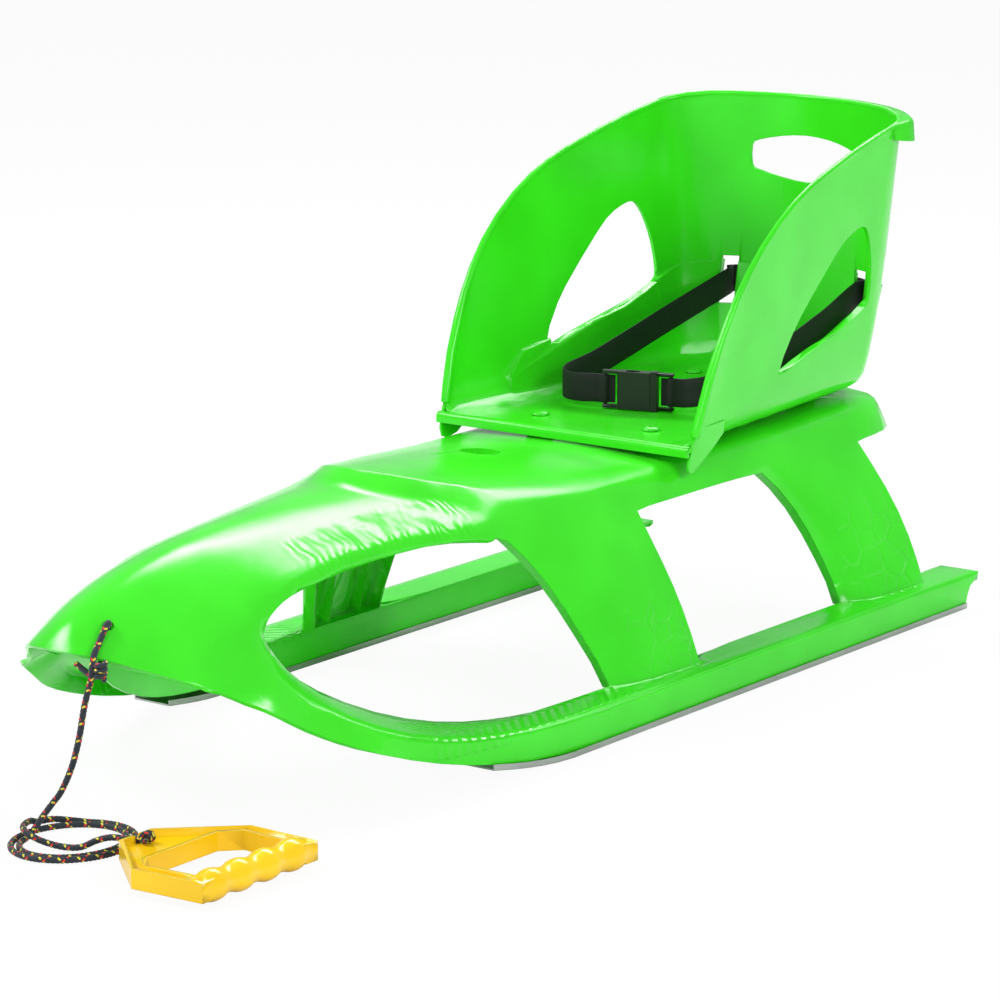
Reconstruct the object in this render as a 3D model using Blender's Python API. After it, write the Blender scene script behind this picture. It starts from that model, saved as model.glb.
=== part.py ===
"""Plastic snow sled with a bolted-on child seat, steel runners, a lap belt and a tow rope.

Frame: metres, +Z up, +Y towards the tail, +X is the rider's left, Z = 0 is the snow.
The moulding is one thin shell lofted between named guide lines, open underneath.
"""
import math

import bmesh
import bpy
import numpy as np
from mathutils import Matrix, Vector
from mathutils.bvhtree import BVHTree

for leftover in list(bpy.data.objects):
    bpy.data.objects.remove(leftover, do_unlink=True)

# The frame's origin lies on the snow, under the middle of the length of sled and seat
ORIGIN = Vector((0.0, 0.0138, 0.0))

# Clearance between pieces that touch
SEAT_GAP = 0.0003

# Neighbouring faces of the moulding within this angle count as one flat face
FLAT_ANGLE = math.radians(1.5)

# Sled moulding
NOSE_Y = -0.5125
TAIL_Y = 0.5125
WALL = 0.0030
RUNNER_HALF = 0.1964
PLATE_WIDTH = 0.0395
PLATE_Z = 0.0320
PLATE_OVERHANG = 0.0145
PLATE_RIM = 0.0080
DECK_HALF = 0.1235
DECK_CREST = 0.1070
DECK_Z = 0.1910
DECK_REAR_Y = 0.4990
DECK_FRONT_Y = -0.1590
DECK_SKIRT = 0.0325
CAMBER = 0.0060
FRONT_FOOT_Y = -0.0140
REAR_FOOT_Y = 0.3390
WEB_RIB = 0.0022
HOLE_Y = 0.0220
HOLE_RADIUS = 0.0175
HOLE_COLLAR = 0.0200
ROPE_HOLE = (0.0258, -0.4810, 0.1580)
ROPE_HOLE_AXIS = (0.4860, -0.4140, 0.7700)
ROPE_HOLE_RADIUS = 0.0045

# Steel runner strips
STRIP_SOLE = 0.0015
STRIP_LIP = 0.0050
STRIP_METAL = 0.0012
STRIP_INSET = 0.0029
STRIP_WIDTH = 0.0376
STRIP_FRONT_Y = -0.2090
STRIP_SCREW_RADIUS = 0.0020
STRIP_SCREW_HEAD = 0.0038
STRIP_SCREW_SINK = 0.0011
STRIP_SCREW_LENGTH = 0.0140
STRIP_SCREW_Y = (-0.0900, 0.0900, 0.2700, 0.4700)

# Seat shell
SEAT_WALL = 0.0032
SEAT_FLOOR_Z = 0.1980
SEAT_FRONT_Y = 0.1365
SEAT_LIP_TOP = 0.0028
SEAT_LIP_DROP = 0.0065
SEAT_BACK_Y = 0.5300
SEAT_BOW = 3.0500
SEAT_TUCK = 0.0210
SEAT_TUCK_Z = 0.2500
SEAT_STEP = 0.0040
SEAT_STEP_Z = 0.2900
SEAT_HALF = 0.1390
SEAT_HALF_AT_Y = 0.1840
SEAT_HALF_AT_Z = 0.3000
SEAT_TOE = 0.0830
SEAT_LEAN = 0.1050
SEAT_CORNER = 0.0360
SEAT_BILGE = 0.0220
SEAT_BACK_Z = 0.4430
SEAT_DRAWN_RISE = 0.2450
SEAT_BEAD = 0.0026
SEAT_FRONT_BEAD = 0.0042
SEAT_FLANGE_OUT = 0.0100
SEAT_FLANGE_DROP = 0.0200
SEAT_FLANGE_WALL = 0.0028
BOLSTER_DEPTH = 0.0080
BOLSTER_ROOT = 0.0017
SLOT_X = 0.0700
SLOT_WIDTH = 0.0150
SLOT_LOW_Z = 0.2500
SLOT_HIGH_Z = 0.2935

# Seat bolts with washers and wing nuts
BOLT_RADIUS = 0.0030
BOLT_CLEARANCE = 0.0003
BOLT_HEAD_RADIUS = 0.0080
BOLT_HEAD_HEIGHT = 0.0032
BOLT_X = 0.0580
BOLT_FRONT_Y = 0.1900
BOLT_REAR_Y = 0.4300
BOLT_END = 0.0040
BOSS_RADIUS = 0.0120
BOSS_DEPTH = 0.0070
WASHER_RADIUS = 0.0085
WASHER_THICK = 0.0014
NUT_RADIUS = 0.0055
NUT_HEIGHT = 0.0060
WING_SPAN = 0.0240
WING_HEIGHT = 0.0100
WING_THICK = 0.0024

# Lap belt and side-release buckle
WEB_WIDTH = 0.0250
WEB_THICK = 0.0014
BELT_HEM = 0.0044
BELT_LAP = 0.0220
BELT_TAIL = 0.0080
BUCKLE_X = 0.0015
BUCKLE_Y = 0.2550
BUCKLE_TURN = math.radians(17.0)
BUCKLE_HEIGHT = 0.0330
BUCKLE_THICK = 0.0110
SOCKET_LENGTH = 0.0440
SOCKET_WALL = 0.0018
BUCKLE_LOOP = 0.0140
BUCKLE_BAR = 0.0016
PLUG_FLANGE = 0.0055
PRONG_LENGTH = 0.0240
PRONG_THICK = 0.0062
SOCKET_OPEN = 0.0110
LATCH_WINDOW = (-0.0120, 0.0000)
LATCH_ROOT = 0.0240
LATCH_SEAT = 0.0032
BUCKLE_CHEEK = 0.0026
STOP_HEIGHT = 0.0350
STOP_WIDTH = 0.0230
STOP_THICK = 0.0035
STOP_WINDOW = 0.0030
NEAR_ROUTE = ((0.0600, 0.2690, 0.2200), (0.0740, 0.3000, 0.2260), (0.0805, 0.3600, 0.2400),
              (0.0800, 0.4240, 0.2560))
FAR_ROUTE = ((-0.0550, 0.2400, 0.2150), (-0.0740, 0.2480, 0.2150), (-0.0835, 0.2660, 0.2160),
             (-0.0817, 0.3000, 0.2210), (-0.0782, 0.3500, 0.2330), (-0.0746, 0.4000, 0.2460))

# Tow rope and handle
ROPE_DIAMETER = 0.0050
COIL_X = 0.0284
COIL_Y = -0.5300
COIL_HALF_X = 0.0350
COIL_HALF_Y = 0.0415
COIL_TURNS = 1.90
COIL_START = math.radians(196.0)
COIL_STEP = 0.0064
COIL_STEPS = 24
COIL_CLIMB = 0.12
COIL_RISE = 0.0045
HANDLE_X = 0.0925
HANDLE_Y = -0.5320
HANDLE_Z = 0.0128
HANDLE_LENGTH = 0.1185
HANDLE_APEX_HALF = 0.0185
HANDLE_SHOULDER_AT = 0.0540
HANDLE_SHOULDER_HALF = 0.0680
HANDLE_GRIP_HALF = 0.0660
HANDLE_HEIGHT = 0.0150
HANDLE_OPEN_AT = 0.0450
HANDLE_BAR = 0.0140
HANDLE_GRIP_BAR = 0.0190
HANDLE_WEB = 0.0040
HANDLE_RIM = 0.0030
HANDLE_LOBE_RADIUS = 0.0125
HANDLE_NECK_RADIUS = 0.0095
HANDLE_LOBES = 4
HANDLE_NOTCH = 0.0064

# The tow rope's middle line: a loop through the nose's hole, the fall and the coil's way out
ROPE_STUB = (0.0331, -0.5110, 0.1203)
ROPE_OUTSIDE = ((0.0345, -0.5108, 0.1260), (0.0350, -0.5105, 0.1310), (0.0345, -0.5088, 0.1370),
                (0.0331, -0.5056, 0.1418), (0.0319, -0.5020, 0.1445), (0.0307, -0.4970, 0.1485),
                (0.0288, -0.4900, 0.1545), (0.0273, -0.4823, 0.1603))
ROPE_INSIDE = ((0.0228, -0.4785, 0.1533), (0.0235, -0.4830, 0.1440), (0.0265, -0.4900, 0.1340),
               (0.0310, -0.4975, 0.1275), (0.0365, -0.5040, 0.1285), (0.0400, -0.5070, 0.1305))
ROPE_TAIL = ((0.0385, -0.5060, 0.1270), (0.0325, -0.5050, 0.1245), (0.0261, -0.5050, 0.1262),
             (0.0145, -0.5050, 0.1318))
ROPE_FALL = ((0.0305, -0.5110, 0.1130), (0.0270, -0.5110, 0.1015), (0.0215, -0.5110, 0.0775),
             (0.0143, -0.5115, 0.0543), (0.0033, -0.5130, 0.0318), (-0.0023, -0.5155, 0.0236),
             (-0.0052, -0.5190, 0.0178), (-0.0068, -0.5240, 0.0125), (-0.0068, -0.5300, 0.0076))
COIL_EXIT = ((-0.0166, -0.5235, 0.0094), (-0.0140, -0.5330, 0.0102), (-0.0085, -0.5420, 0.0102),
             (0.0005, -0.5490, 0.0100), (0.0110, -0.5515, 0.0080), (0.0225, -0.5490, 0.0050),
             (0.0360, -0.5450, 0.0034), (0.0485, -0.5420, 0.0050), (0.0590, -0.5380, 0.0105),
             (0.0680, -0.5345, 0.0138), (0.0770, -0.5325, 0.0148))
KNOT_CENTRE = (0.0400, -0.5070, 0.1305)
KNOT_RADIUS = 0.0050
KNOT_LENGTH = 0.0150
ROPE_RADIUS = 0.5 * ROPE_DIAMETER

# Ribs inside the moulding
LEG_RIB_DEPTH = 0.0110
LEG_RIB_LINES = ((-0.0250, 0.0150), (0.0350, 0.0650), (0.3300, 0.3750), (0.3900, 0.4180))
WEB_FRONT_Y = -0.1180
DECK_RIB_DEPTH = 0.0140
DECK_RIB_X = 0.0400
DECK_RIB_FRONT_Y = -0.1150
DECK_RIB_REAR_Y = 0.4850
DECK_RIB_REACH = 0.0980
DECK_CROSS_RIB_Y = (-0.0400, 0.0900, 0.2600, 0.3450, 0.4650)
NOSE_RIB_X = (-0.0470, -0.0145, 0.0145, 0.0470)
NOSE_RIB_END_Y = -0.3650
NOSE_RIB_DEPTH = 0.0300

SKIRT_Z = DECK_Z - DECK_SKIRT
PLATE_INNER = RUNNER_HALF - PLATE_WIDTH
RUNNER_END_Y = TAIL_Y - PLATE_OVERHANG
SEAT_UNDER_Z = SEAT_FLOOR_Z - SEAT_WALL
WEB_FOOT_Z = STRIP_SOLE + SEAT_GAP
BOSS_UNDER_Z = DECK_Z - BOSS_DEPTH


def material(name, colour, roughness, metallic=0.0):
    """A plain Principled BSDF."""
    made = bpy.data.materials.new(name)
    made.use_nodes = True
    shader = made.node_tree.nodes["Principled BSDF"]
    shader.inputs["Base Color"].default_value = (*colour, 1.0)
    shader.inputs["Roughness"].default_value = roughness
    shader.inputs["Metallic"].default_value = metallic
    return made


def link(name, mesh, finish, origin=ORIGIN):
    """Put a mesh in the scene as a named object with its own finish and origin."""
    shape = mesh.copy()
    shape.transform(Matrix.Translation(-origin))
    piece = bpy.data.objects.new(name, shape)
    piece.location = origin - ORIGIN
    bpy.context.scene.collection.objects.link(piece)
    piece.data.materials.clear()
    piece.data.materials.append(material(name + "_finish", *finish))
    return piece


GREEN = ((0.060, 0.720, 0.020), 0.30)
BLACK = ((0.012, 0.012, 0.013), 0.45)
WEBBING = ((0.010, 0.010, 0.011), 0.85)
STEEL = ((0.560, 0.550, 0.560), 0.32, 1.0)
ZINC = ((0.620, 0.610, 0.600), 0.35, 1.0)
ROPE = ((0.020, 0.030, 0.050), 0.80)
YELLOW = ((0.920, 0.560, 0.010), 0.35)


def mesh_from(points, faces, name="shape"):
    """A mesh from vertex positions and face indices, outward normals."""
    mesh = bpy.data.meshes.new(name)
    mesh.from_pydata([tuple(p) for p in points], [], faces)
    bm = bmesh.new()
    bm.from_mesh(mesh)
    bmesh.ops.recalc_face_normals(bm, faces=bm.faces)
    bm.to_mesh(mesh)
    bm.free()
    return mesh


def scratch(mesh):
    """A temporary object for modifiers."""
    piece = bpy.data.objects.new("scratch", mesh)
    bpy.context.scene.collection.objects.link(piece)
    return piece


def evaluated(piece):
    """The mesh of an object with its modifiers applied."""
    bpy.context.view_layer.update()
    graph = bpy.context.evaluated_depsgraph_get()
    mesh = bpy.data.meshes.new_from_object(piece.evaluated_get(graph))
    return mesh


def drop(piece):
    bpy.data.objects.remove(piece, do_unlink=True)


def boolean(mesh, others, operation):
    """Combine a mesh with others by exact Booleans."""
    base = scratch(mesh)
    helpers = []
    for other in others:
        helper = scratch(other)
        helpers.append(helper)
        step = base.modifiers.new("step", "BOOLEAN")
        step.operation = operation
        step.solver = "EXACT"
        step.object = helper
    result = evaluated(base)
    for helper in helpers:
        drop(helper)
    drop(base)
    return tidied(result)


def is_closed(mesh):
    """Whether every edge of a mesh joins exactly two faces."""
    bm = bmesh.new()
    bm.from_mesh(mesh)
    closed = all(edge.is_manifold for edge in bm.edges)
    bm.free()
    return closed


def tidied(mesh, distance=0.00003):
    """Weld hair-thin slivers, by a shorter distance where the weld would pinch the solid."""
    for shorter in (1.0, 0.6, 0.35, 0.2, 0.1, 0.03):
        bm = bmesh.new()
        bm.from_mesh(mesh)
        bmesh.ops.remove_doubles(bm, verts=bm.verts, dist=distance * shorter)
        bmesh.ops.dissolve_degenerate(bm, edges=bm.edges, dist=0.2 * distance * shorter)
        result = bpy.data.meshes.new("tidied")
        bm.to_mesh(result)
        bm.free()
        if is_closed(result):
            return result
    return mesh


def lightened(mesh, share):
    """Drop the smallest facets that unions leave on nearly flat walls, keeping the solid closed."""
    mesh = tidied(mesh, 0.0001)
    for step in range(8):
        piece = scratch(mesh)
        fewer = piece.modifiers.new("fewer", "DECIMATE")
        fewer.ratio = min(1.0, share + 0.013 * step)
        result = evaluated(piece)
        drop(piece)
        if is_closed(result):
            break
    return result


def lofted(sections):
    """A closed solid through a row of sections with as many points each."""
    count = len(sections[0])
    points = [p for section in sections for p in section]
    last = count * (len(sections) - 1)
    faces = [tuple(range(count)), tuple(range(last, last + count))]
    for i in range(len(sections) - 1):
        for k in range(count):
            m = (k + 1) % count
            a = count * i
            faces.append((a + k, a + m, a + count + m, a + count + k))
    return mesh_from(points, faces)


def smooth_run(points, pitch):
    """Evenly spaced points on a smooth open curve through chosen points."""
    chosen = np.array(points, dtype=float)
    padded = np.vstack([2 * chosen[0] - chosen[1], chosen, 2 * chosen[-1] - chosen[-2]])
    fine = []
    for i in range(len(chosen) - 1):
        p0, p1, p2, p3 = padded[i:i + 4]
        t1 = np.linalg.norm(p1 - p0) ** 0.5
        t2 = t1 + np.linalg.norm(p2 - p1) ** 0.5
        t3 = t2 + np.linalg.norm(p3 - p2) ** 0.5
        for t in np.linspace(t1, t2, 24, endpoint=False):
            a1 = (t1 - t) / t1 * p0 + t / t1 * p1
            a2 = (t2 - t) / (t2 - t1) * p1 + (t - t1) / (t2 - t1) * p2
            a3 = (t3 - t) / (t3 - t2) * p2 + (t - t2) / (t3 - t2) * p3
            b1 = (t2 - t) / t2 * a1 + t / t2 * a2
            b2 = (t3 - t) / (t3 - t1) * a2 + (t - t1) / (t3 - t1) * a3
            fine.append((t2 - t) / (t2 - t1) * b1 + (t - t1) / (t2 - t1) * b2)
    fine.append(chosen[-1])
    fine = np.array(fine)
    along = np.concatenate([[0.0], np.cumsum(np.linalg.norm(np.diff(fine, axis=0), axis=1))])
    count = max(2, int(round(along[-1] / pitch)) + 1)
    at = np.linspace(0.0, along[-1], count)
    return [Vector([float(np.interp(s, along, fine[:, k])) for k in range(fine.shape[1])])
            for s in at]


def smooth_loop(points, steps):
    """A closed outline rounded through its chosen points."""
    count = len(points)
    outline = []
    for i in range(count):
        p0, p1, p2, p3 = [np.array(points[(i + k - 1) % count]) for k in range(4)]
        for k in range(steps):
            t = k / steps
            value = 0.5 * (2 * p1 + (p2 - p0) * t + (2 * p0 - 5 * p1 + 4 * p2 - p3) * t ** 2
                           + (3 * p1 - p0 - 3 * p2 + p3) * t ** 3)
            outline.append(tuple(float(v) for v in value))
    return outline


def tangents(path):
    return [(path[min(i + 1, len(path) - 1)] - path[max(i - 1, 0)]).normalized()
            for i in range(len(path))]


def tube(path, radii, sides):
    """A round bar along a path, its section carried along without twist."""
    ways = tangents(path)
    across = ways[0].orthogonal().normalized()
    sections = []
    for point, way, radius in zip(path, ways, radii):
        across = (across - way * across.dot(way)).normalized()
        up = way.cross(across)
        ring = []
        for k in range(sides):
            angle = 2.0 * math.pi * k / sides
            ring.append(point + radius * (math.cos(angle) * across + math.sin(angle) * up))
        sections.append(ring)
    return lofted(sections)


def box(low, high):
    """A closed box between two corners."""
    corners = [(x, y, z) for x in (low[0], high[0]) for y in (low[1], high[1])
               for z in (low[2], high[2])]
    faces = [(0, 1, 3, 2), (4, 6, 7, 5), (0, 4, 5, 1), (2, 3, 7, 6), (0, 2, 6, 4), (1, 5, 7, 3)]
    return mesh_from(corners, faces)


def prism(outline, low, high, axis):
    """Extrude a closed outline along an axis: 0 takes (y, z), 1 takes (x, z), 2 takes (x, y)."""
    def place(u, v, w):
        return {0: (w, u, v), 1: (u, w, v), 2: (u, v, w)}[axis]

    count = len(outline)
    points = [place(u, v, low) for u, v in outline] + [place(u, v, high) for u, v in outline]
    faces = [tuple(range(count)), tuple(range(count, 2 * count))]
    for i in range(count):
        j = (i + 1) % count
        faces.append((i, j, count + j, count + i))
    return mesh_from(points, faces)


def turned(profile, centre, sides=24):
    """Revolve a closed (radius, z) profile about a vertical axis through centre."""
    points = []
    rings = []
    for radius, z in profile:
        if radius < 1e-7:
            rings.append([len(points)])
            points.append((centre[0], centre[1], centre[2] + z))
            continue
        ring = []
        for k in range(sides):
            angle = 2.0 * math.pi * k / sides
            ring.append(len(points))
            points.append((centre[0] + radius * math.cos(angle),
                           centre[1] + radius * math.sin(angle), centre[2] + z))
        rings.append(ring)
    faces = []
    for first, second in zip(rings, rings[1:] + rings[:1]):
        if len(first) == 1 and len(second) == 1:
            continue
        for k in range(sides):
            m = (k + 1) % sides
            if len(first) == 1:
                faces.append((first[0], second[k], second[m]))
            elif len(second) == 1:
                faces.append((first[k], first[m], second[0]))
            else:
                faces.append((first[k], first[m], second[m], second[k]))
    return mesh_from(points, faces)


def joined(meshes):
    """Several separate solids in one mesh."""
    bm = bmesh.new()
    for mesh in meshes:
        bm.from_mesh(mesh)
    result = bpy.data.meshes.new("group")
    bm.to_mesh(result)
    bm.free()
    return result


def mirrored(mesh):
    """The same shape on the other side of the sled."""
    copy = mesh.copy()
    copy.transform(Matrix.Scale(-1.0, 4, Vector((1.0, 0.0, 0.0))))
    copy.flip_normals()
    return copy


class Guide:
    """A smooth line through chosen points, read by its first coordinate."""

    def __init__(self, *points):
        table = np.array(points, dtype=float)
        self.at = table[:, 0]
        self.value = table[:, 1:]
        span = np.diff(self.at)[:, None]
        slope = np.diff(self.value, axis=0) / span
        tangent = np.zeros_like(self.value)
        tangent[0] = slope[0]
        tangent[-1] = slope[-1]
        before = span[:-1]
        after = span[1:]
        blend = (slope[:-1] * after + slope[1:] * before) / (before + after)
        turning = slope[:-1] * slope[1:] <= 0.0
        blend[turning] = 0.0
        limit = 3.0 * np.minimum(np.abs(slope[:-1]), np.abs(slope[1:]))
        tangent[1:-1] = np.clip(blend, -limit, limit)
        self.tangent = tangent

    def __call__(self, y):
        y = min(max(y, self.at[0]), self.at[-1])
        i = int(np.clip(np.searchsorted(self.at, y) - 1, 0, len(self.at) - 2))
        h = self.at[i + 1] - self.at[i]
        t = (y - self.at[i]) / h
        a = (1.0 + 2.0 * t) * (1.0 - t) ** 2
        b = t * (1.0 - t) ** 2
        c = t * t * (3.0 - 2.0 * t)
        d = t * t * (t - 1.0)
        result = (a * self.value[i] + b * h * self.tangent[i]
                  + c * self.value[i + 1] + d * h * self.tangent[i + 1])
        return tuple(float(v) for v in result)


# Guide lines of the moulding, each point (y, x, z) or (y, z)
CROWN = Guide(
    (NOSE_Y, 0.1410), (NOSE_Y + 0.0045, 0.1505), (NOSE_Y + 0.0225, 0.1645),
    (NOSE_Y + 0.0525, 0.1785), (NOSE_Y + 0.0925, 0.1890), (NOSE_Y + 0.1525, 0.1975),
    (NOSE_Y + 0.2325, 0.2040), (DECK_FRONT_Y - 0.0090, DECK_Z + 0.0165))
DECK_TOP = Guide(
    (DECK_FRONT_Y, DECK_Z + 0.0280), (DECK_FRONT_Y + 0.0200, DECK_Z + 0.0250),
    (HOLE_Y - 0.0820, DECK_Z + 0.0190), (HOLE_Y, DECK_Z + 0.0120),
    (HOLE_Y + 0.0580, DECK_Z + 0.0065), (SEAT_FRONT_Y - 0.0170, DECK_Z + 0.0002),
    (SEAT_FRONT_Y + 0.0040, DECK_Z - 0.0020), (SEAT_FRONT_Y + 0.0500, DECK_Z - 0.0020),
    (DECK_REAR_Y, DECK_Z - 0.0020))
HULL_SHOULDER = Guide(
    (-0.3700, 0.0345, 0.1870), (-0.3250, 0.0360, 0.1910), (-0.2800, 0.0390, 0.1935),
    (-0.2330, 0.0447, 0.1945), (-0.1834, 0.0490, 0.1960), (-0.1500, 0.0560, 0.1945))
HULL_SIDE = Guide(
    (-0.3850, 0.0600, 0.1650), (-0.3430, 0.0600, 0.1750), (-0.2940, 0.0600, 0.1825),
    (-0.2450, 0.0635, 0.1860), (-0.1940, 0.0720, 0.1865), (-0.1450, 0.0840, 0.1850))
DECK_RIM = Guide(
    (-0.0900, 0.0790, DECK_Z + 0.0090), (-0.0550, 0.0925, DECK_Z + 0.0030),
    (-0.0200, 0.1005, DECK_Z - 0.0015), (0.0200, 0.1045, DECK_Z - 0.0040),
    (0.0700, DECK_CREST, DECK_Z - 0.0060), (0.1300, DECK_CREST, DECK_Z - CAMBER),
    (DECK_REAR_Y, DECK_CREST, DECK_Z - CAMBER))
SKIRT = Guide(
    (-0.3650, 0.0830, 0.1390), (-0.3600, 0.0830, 0.1485), (-0.3340, 0.0820, 0.1586),
    (-0.3090, 0.0816, 0.1630), (-0.2585, 0.0812, 0.1660), (-0.2125, 0.0850, 0.1688),
    (-0.1720, 0.0935, 0.1705), (-0.1340, 0.1035, 0.1710), (-0.1040, 0.1090, 0.1680),
    (-0.0500, 0.1180, 0.1620), (0.0000, 0.1210, 0.1595), (0.0400, DECK_HALF - 0.0005, SKIRT_Z),
    (DECK_REAR_Y, DECK_HALF - 0.0005, SKIRT_Z))
INNER_EDGE = Guide(
    (-0.3694, 0.0880, 0.1300), (-0.3660, 0.0890, 0.1207), (-0.3560, 0.0925, 0.1085),
    (-0.3440, 0.0960, 0.0975), (-0.3150, 0.1045, 0.0790), (-0.2790, 0.1160, 0.0613),
    (-0.2430, 0.1270, 0.0490), (-0.2050, 0.1375, 0.0392), (-0.1650, 0.1465, 0.0350),
    (-0.1200, 0.1535, 0.0325), (-0.0500, PLATE_INNER, PLATE_Z), (TAIL_Y, PLATE_INNER, PLATE_Z))
OUTER_EDGE = Guide(
    (-0.3855, 0.1025, 0.1165), (-0.3815, 0.1080, 0.1085), (-0.3740, 0.1155, 0.0975),
    (-0.3620, 0.1270, 0.0870), (-0.3400, 0.1490, 0.0725), (-0.3240, 0.1590, 0.0620),
    (-0.2990, 0.1690, 0.0510), (-0.2700, 0.1765, 0.0435), (-0.2280, 0.1840, 0.0375),
    (-0.1860, 0.1905, 0.0345), (-0.1375, 0.1950, 0.0328), (-0.0800, RUNNER_HALF, PLATE_Z),
    (TAIL_Y, RUNNER_HALF, PLATE_Z))
LIP_X = RUNNER_HALF - STRIP_INSET - STRIP_METAL - 0.0006
LIP = Guide(
    (NOSE_Y, 0.0, 0.1410), (NOSE_Y + 0.0025, 0.0190, 0.1408), (NOSE_Y + 0.0095, 0.0340, 0.1388),
    (NOSE_Y + 0.0225, 0.0490, 0.1325), (NOSE_Y + 0.0375, 0.0625, 0.1257),
    (NOSE_Y + 0.0535, 0.0765, 0.1185), (-0.4400, 0.0920, 0.1095), (-0.4190, 0.1080, 0.0965),
    (-0.3940, 0.1290, 0.0800), (-0.3680, 0.1450, 0.0643), (-0.3420, 0.1545, 0.0515),
    (-0.3055, 0.1640, 0.0369), (-0.2660, 0.1720, 0.0248), (-0.2330, 0.1775, 0.0168),
    (-0.2050, 0.1820, 0.0118), (-0.1800, 0.1855, 0.0085), (-0.1500, 0.1885, 0.0050),
    (-0.1100, LIP_X, 0.0024), (-0.0500, LIP_X, WEB_FOOT_Z), (TAIL_Y, LIP_X, WEB_FOOT_Z))
KEEL = Guide(
    (STRIP_FRONT_Y, 0.0092), (-0.2000, 0.0078), (-0.1800, 0.0048), (-0.1500, 0.0014),
    (-0.1150, 0.0), (TAIL_Y, 0.0))

# Rows of the shell: deck centre, shoulder, skirt edge, foot or plate edge, outer edge, lip
ROWS = 13
SHOULDER_ROW = 3
SKIRT_ROW = 5
FOOT_ROW = 8
OUTER_ROW = 10
RIM_ROW = 11
LIP_ROW = 12


def leg_line(top, mid_high, mid_low, foot):
    """Rows 5 to 8 of one edge of a leg."""
    return [top, mid_high, mid_low, foot]


def foot_point(dx, y):
    return (PLATE_INNER + dx, y, PLATE_Z)


FRONT_LEG = {
    "toe": leg_line((0.1105, -0.0900, 0.1610), (0.1230, -0.0560, 0.1270),
                    (0.1460, -0.0330, 0.0730), foot_point(0.0030, FRONT_FOOT_Y)),
    "turn": leg_line((0.1185, -0.0450, 0.1620), (0.1330, -0.0250, 0.1190),
                     (0.1520, -0.0090, 0.0740), foot_point(0.0090, FRONT_FOOT_Y + 0.0170)),
    "corner": leg_line((0.1215, 0.0000, 0.1595), (0.1395, 0.0040, 0.1180),
                       (0.1570, 0.0100, 0.0740), foot_point(0.0140, FRONT_FOOT_Y + 0.0334)),
    "face": leg_line((0.1225, 0.0380, 0.1585), (0.1430, 0.0440, 0.1170),
                     (0.1600, 0.0500, 0.0740), foot_point(0.0170, FRONT_FOOT_Y + 0.0700)),
    "heel": leg_line((0.1225, 0.0740, 0.1580), (0.1435, 0.0830, 0.1150),
                     (0.1610, 0.0890, 0.0750), foot_point(0.0186, FRONT_FOOT_Y + 0.1055)),
}
REAR_LEG = {
    "toe": leg_line((0.1200, 0.2700, 0.1560), (0.1270, 0.3120, 0.1200),
                    (0.1470, 0.3310, 0.0680), foot_point(0.0030, REAR_FOOT_Y)),
    "corner": leg_line((0.1225, 0.3060, 0.1580), (0.1400, 0.3260, 0.1180),
                       (0.1600, 0.3500, 0.0740), foot_point(0.0180, REAR_FOOT_Y + 0.0366)),
    "face": leg_line((0.1225, 0.3620, 0.1580), (0.1460, 0.3780, 0.1170),
                     (0.1650, 0.3930, 0.0740), foot_point(0.0210, REAR_FOOT_Y + 0.0710)),
    "heel": leg_line((0.1225, 0.4200, 0.1580), (0.1485, 0.4310, 0.1170),
                     (0.1680, 0.4390, 0.0740), foot_point(0.0230, REAR_FOOT_Y + 0.1050)),
}



def raised(points):
    """Points (across, z) drawn for a back 245 mm over the seat's floor, moved to its height."""
    share = (SEAT_BACK_Z - SEAT_FLOOR_Z) / SEAT_DRAWN_RISE
    return [(a, SEAT_FLOOR_Z + (z - SEAT_FLOOR_Z) * share) for a, z in points]


# The top edge of the seat's side walls, (y, z), and its lean at each station
SEAT_EDGE = Guide(*raised((
    (0.1500, 0.2090), (0.1660, 0.2565), (0.1840, 0.2960), (0.2150, 0.3400), (0.2630, 0.3775),
    (0.3130, 0.4000), (0.3520, 0.4100), (0.4000, 0.4220), (0.4450, 0.4305), (0.4850, 0.4370))))
SEAT_STATIONS = ((0.1840, 0.0140), (0.2150, 0.0130), (0.2630, 0.0200),
                 (0.3130, 0.0180), (0.3600, 0.0100), (0.4100, 0.0050))
SEAT_LEVELS = (0.0, 0.30, 0.62, 0.86, 1.0)
SEAT_NOSE = ((0.2060, 0.1485), (0.2565, 0.1655))
WINDOW = ((0.2870, 0.2385), (0.3070, 0.2726), (0.3320, 0.2970), (0.3580, 0.3190),
          (0.3840, 0.3390), (0.4060, 0.3480), (0.4225, 0.3500), (0.4320, 0.3430),
          (0.4400, 0.3290), (0.4465, 0.3090), (0.4490, 0.2840), (0.4420, 0.2740),
          (0.4050, 0.2620), (0.3670, 0.2540), (0.3200, 0.2440))
GRIP_HOLE = raised(((-0.0540, 0.3960), (-0.0480, 0.4010), (-0.0250, 0.4060), (0.0, 0.4080),
             (0.0250, 0.4060), (0.0480, 0.4010), (0.0540, 0.3960), (0.0540, 0.3790),
             (0.0480, 0.3740), (0.0250, 0.3680), (0.0, 0.3650), (-0.0250, 0.3680),
             (-0.0480, 0.3740), (-0.0540, 0.3790)))
BOLSTER_FRONT = ((0.2255, 0.1900), (0.2270, 0.2010), (0.2300, 0.2150), (0.2370, 0.2290),
                 (0.2500, 0.2380), (0.2520, 0.2600), (0.2000, 0.2600), (0.2000, 0.1900))
BOLSTER_TOP = Guide(
    (0.2200, 0.2375), (0.2500, 0.2385), (0.2730, 0.2416),
    (0.3420, 0.2512), (0.3980, 0.2587), (0.4460, 0.2768), (0.4700, 0.2850), (0.5000, 0.2895))
BOLSTER_STATIONS = (0.2215, 0.2500, 0.2730, 0.3080, 0.3420, 0.3700, 0.3980, 0.4180)
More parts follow.
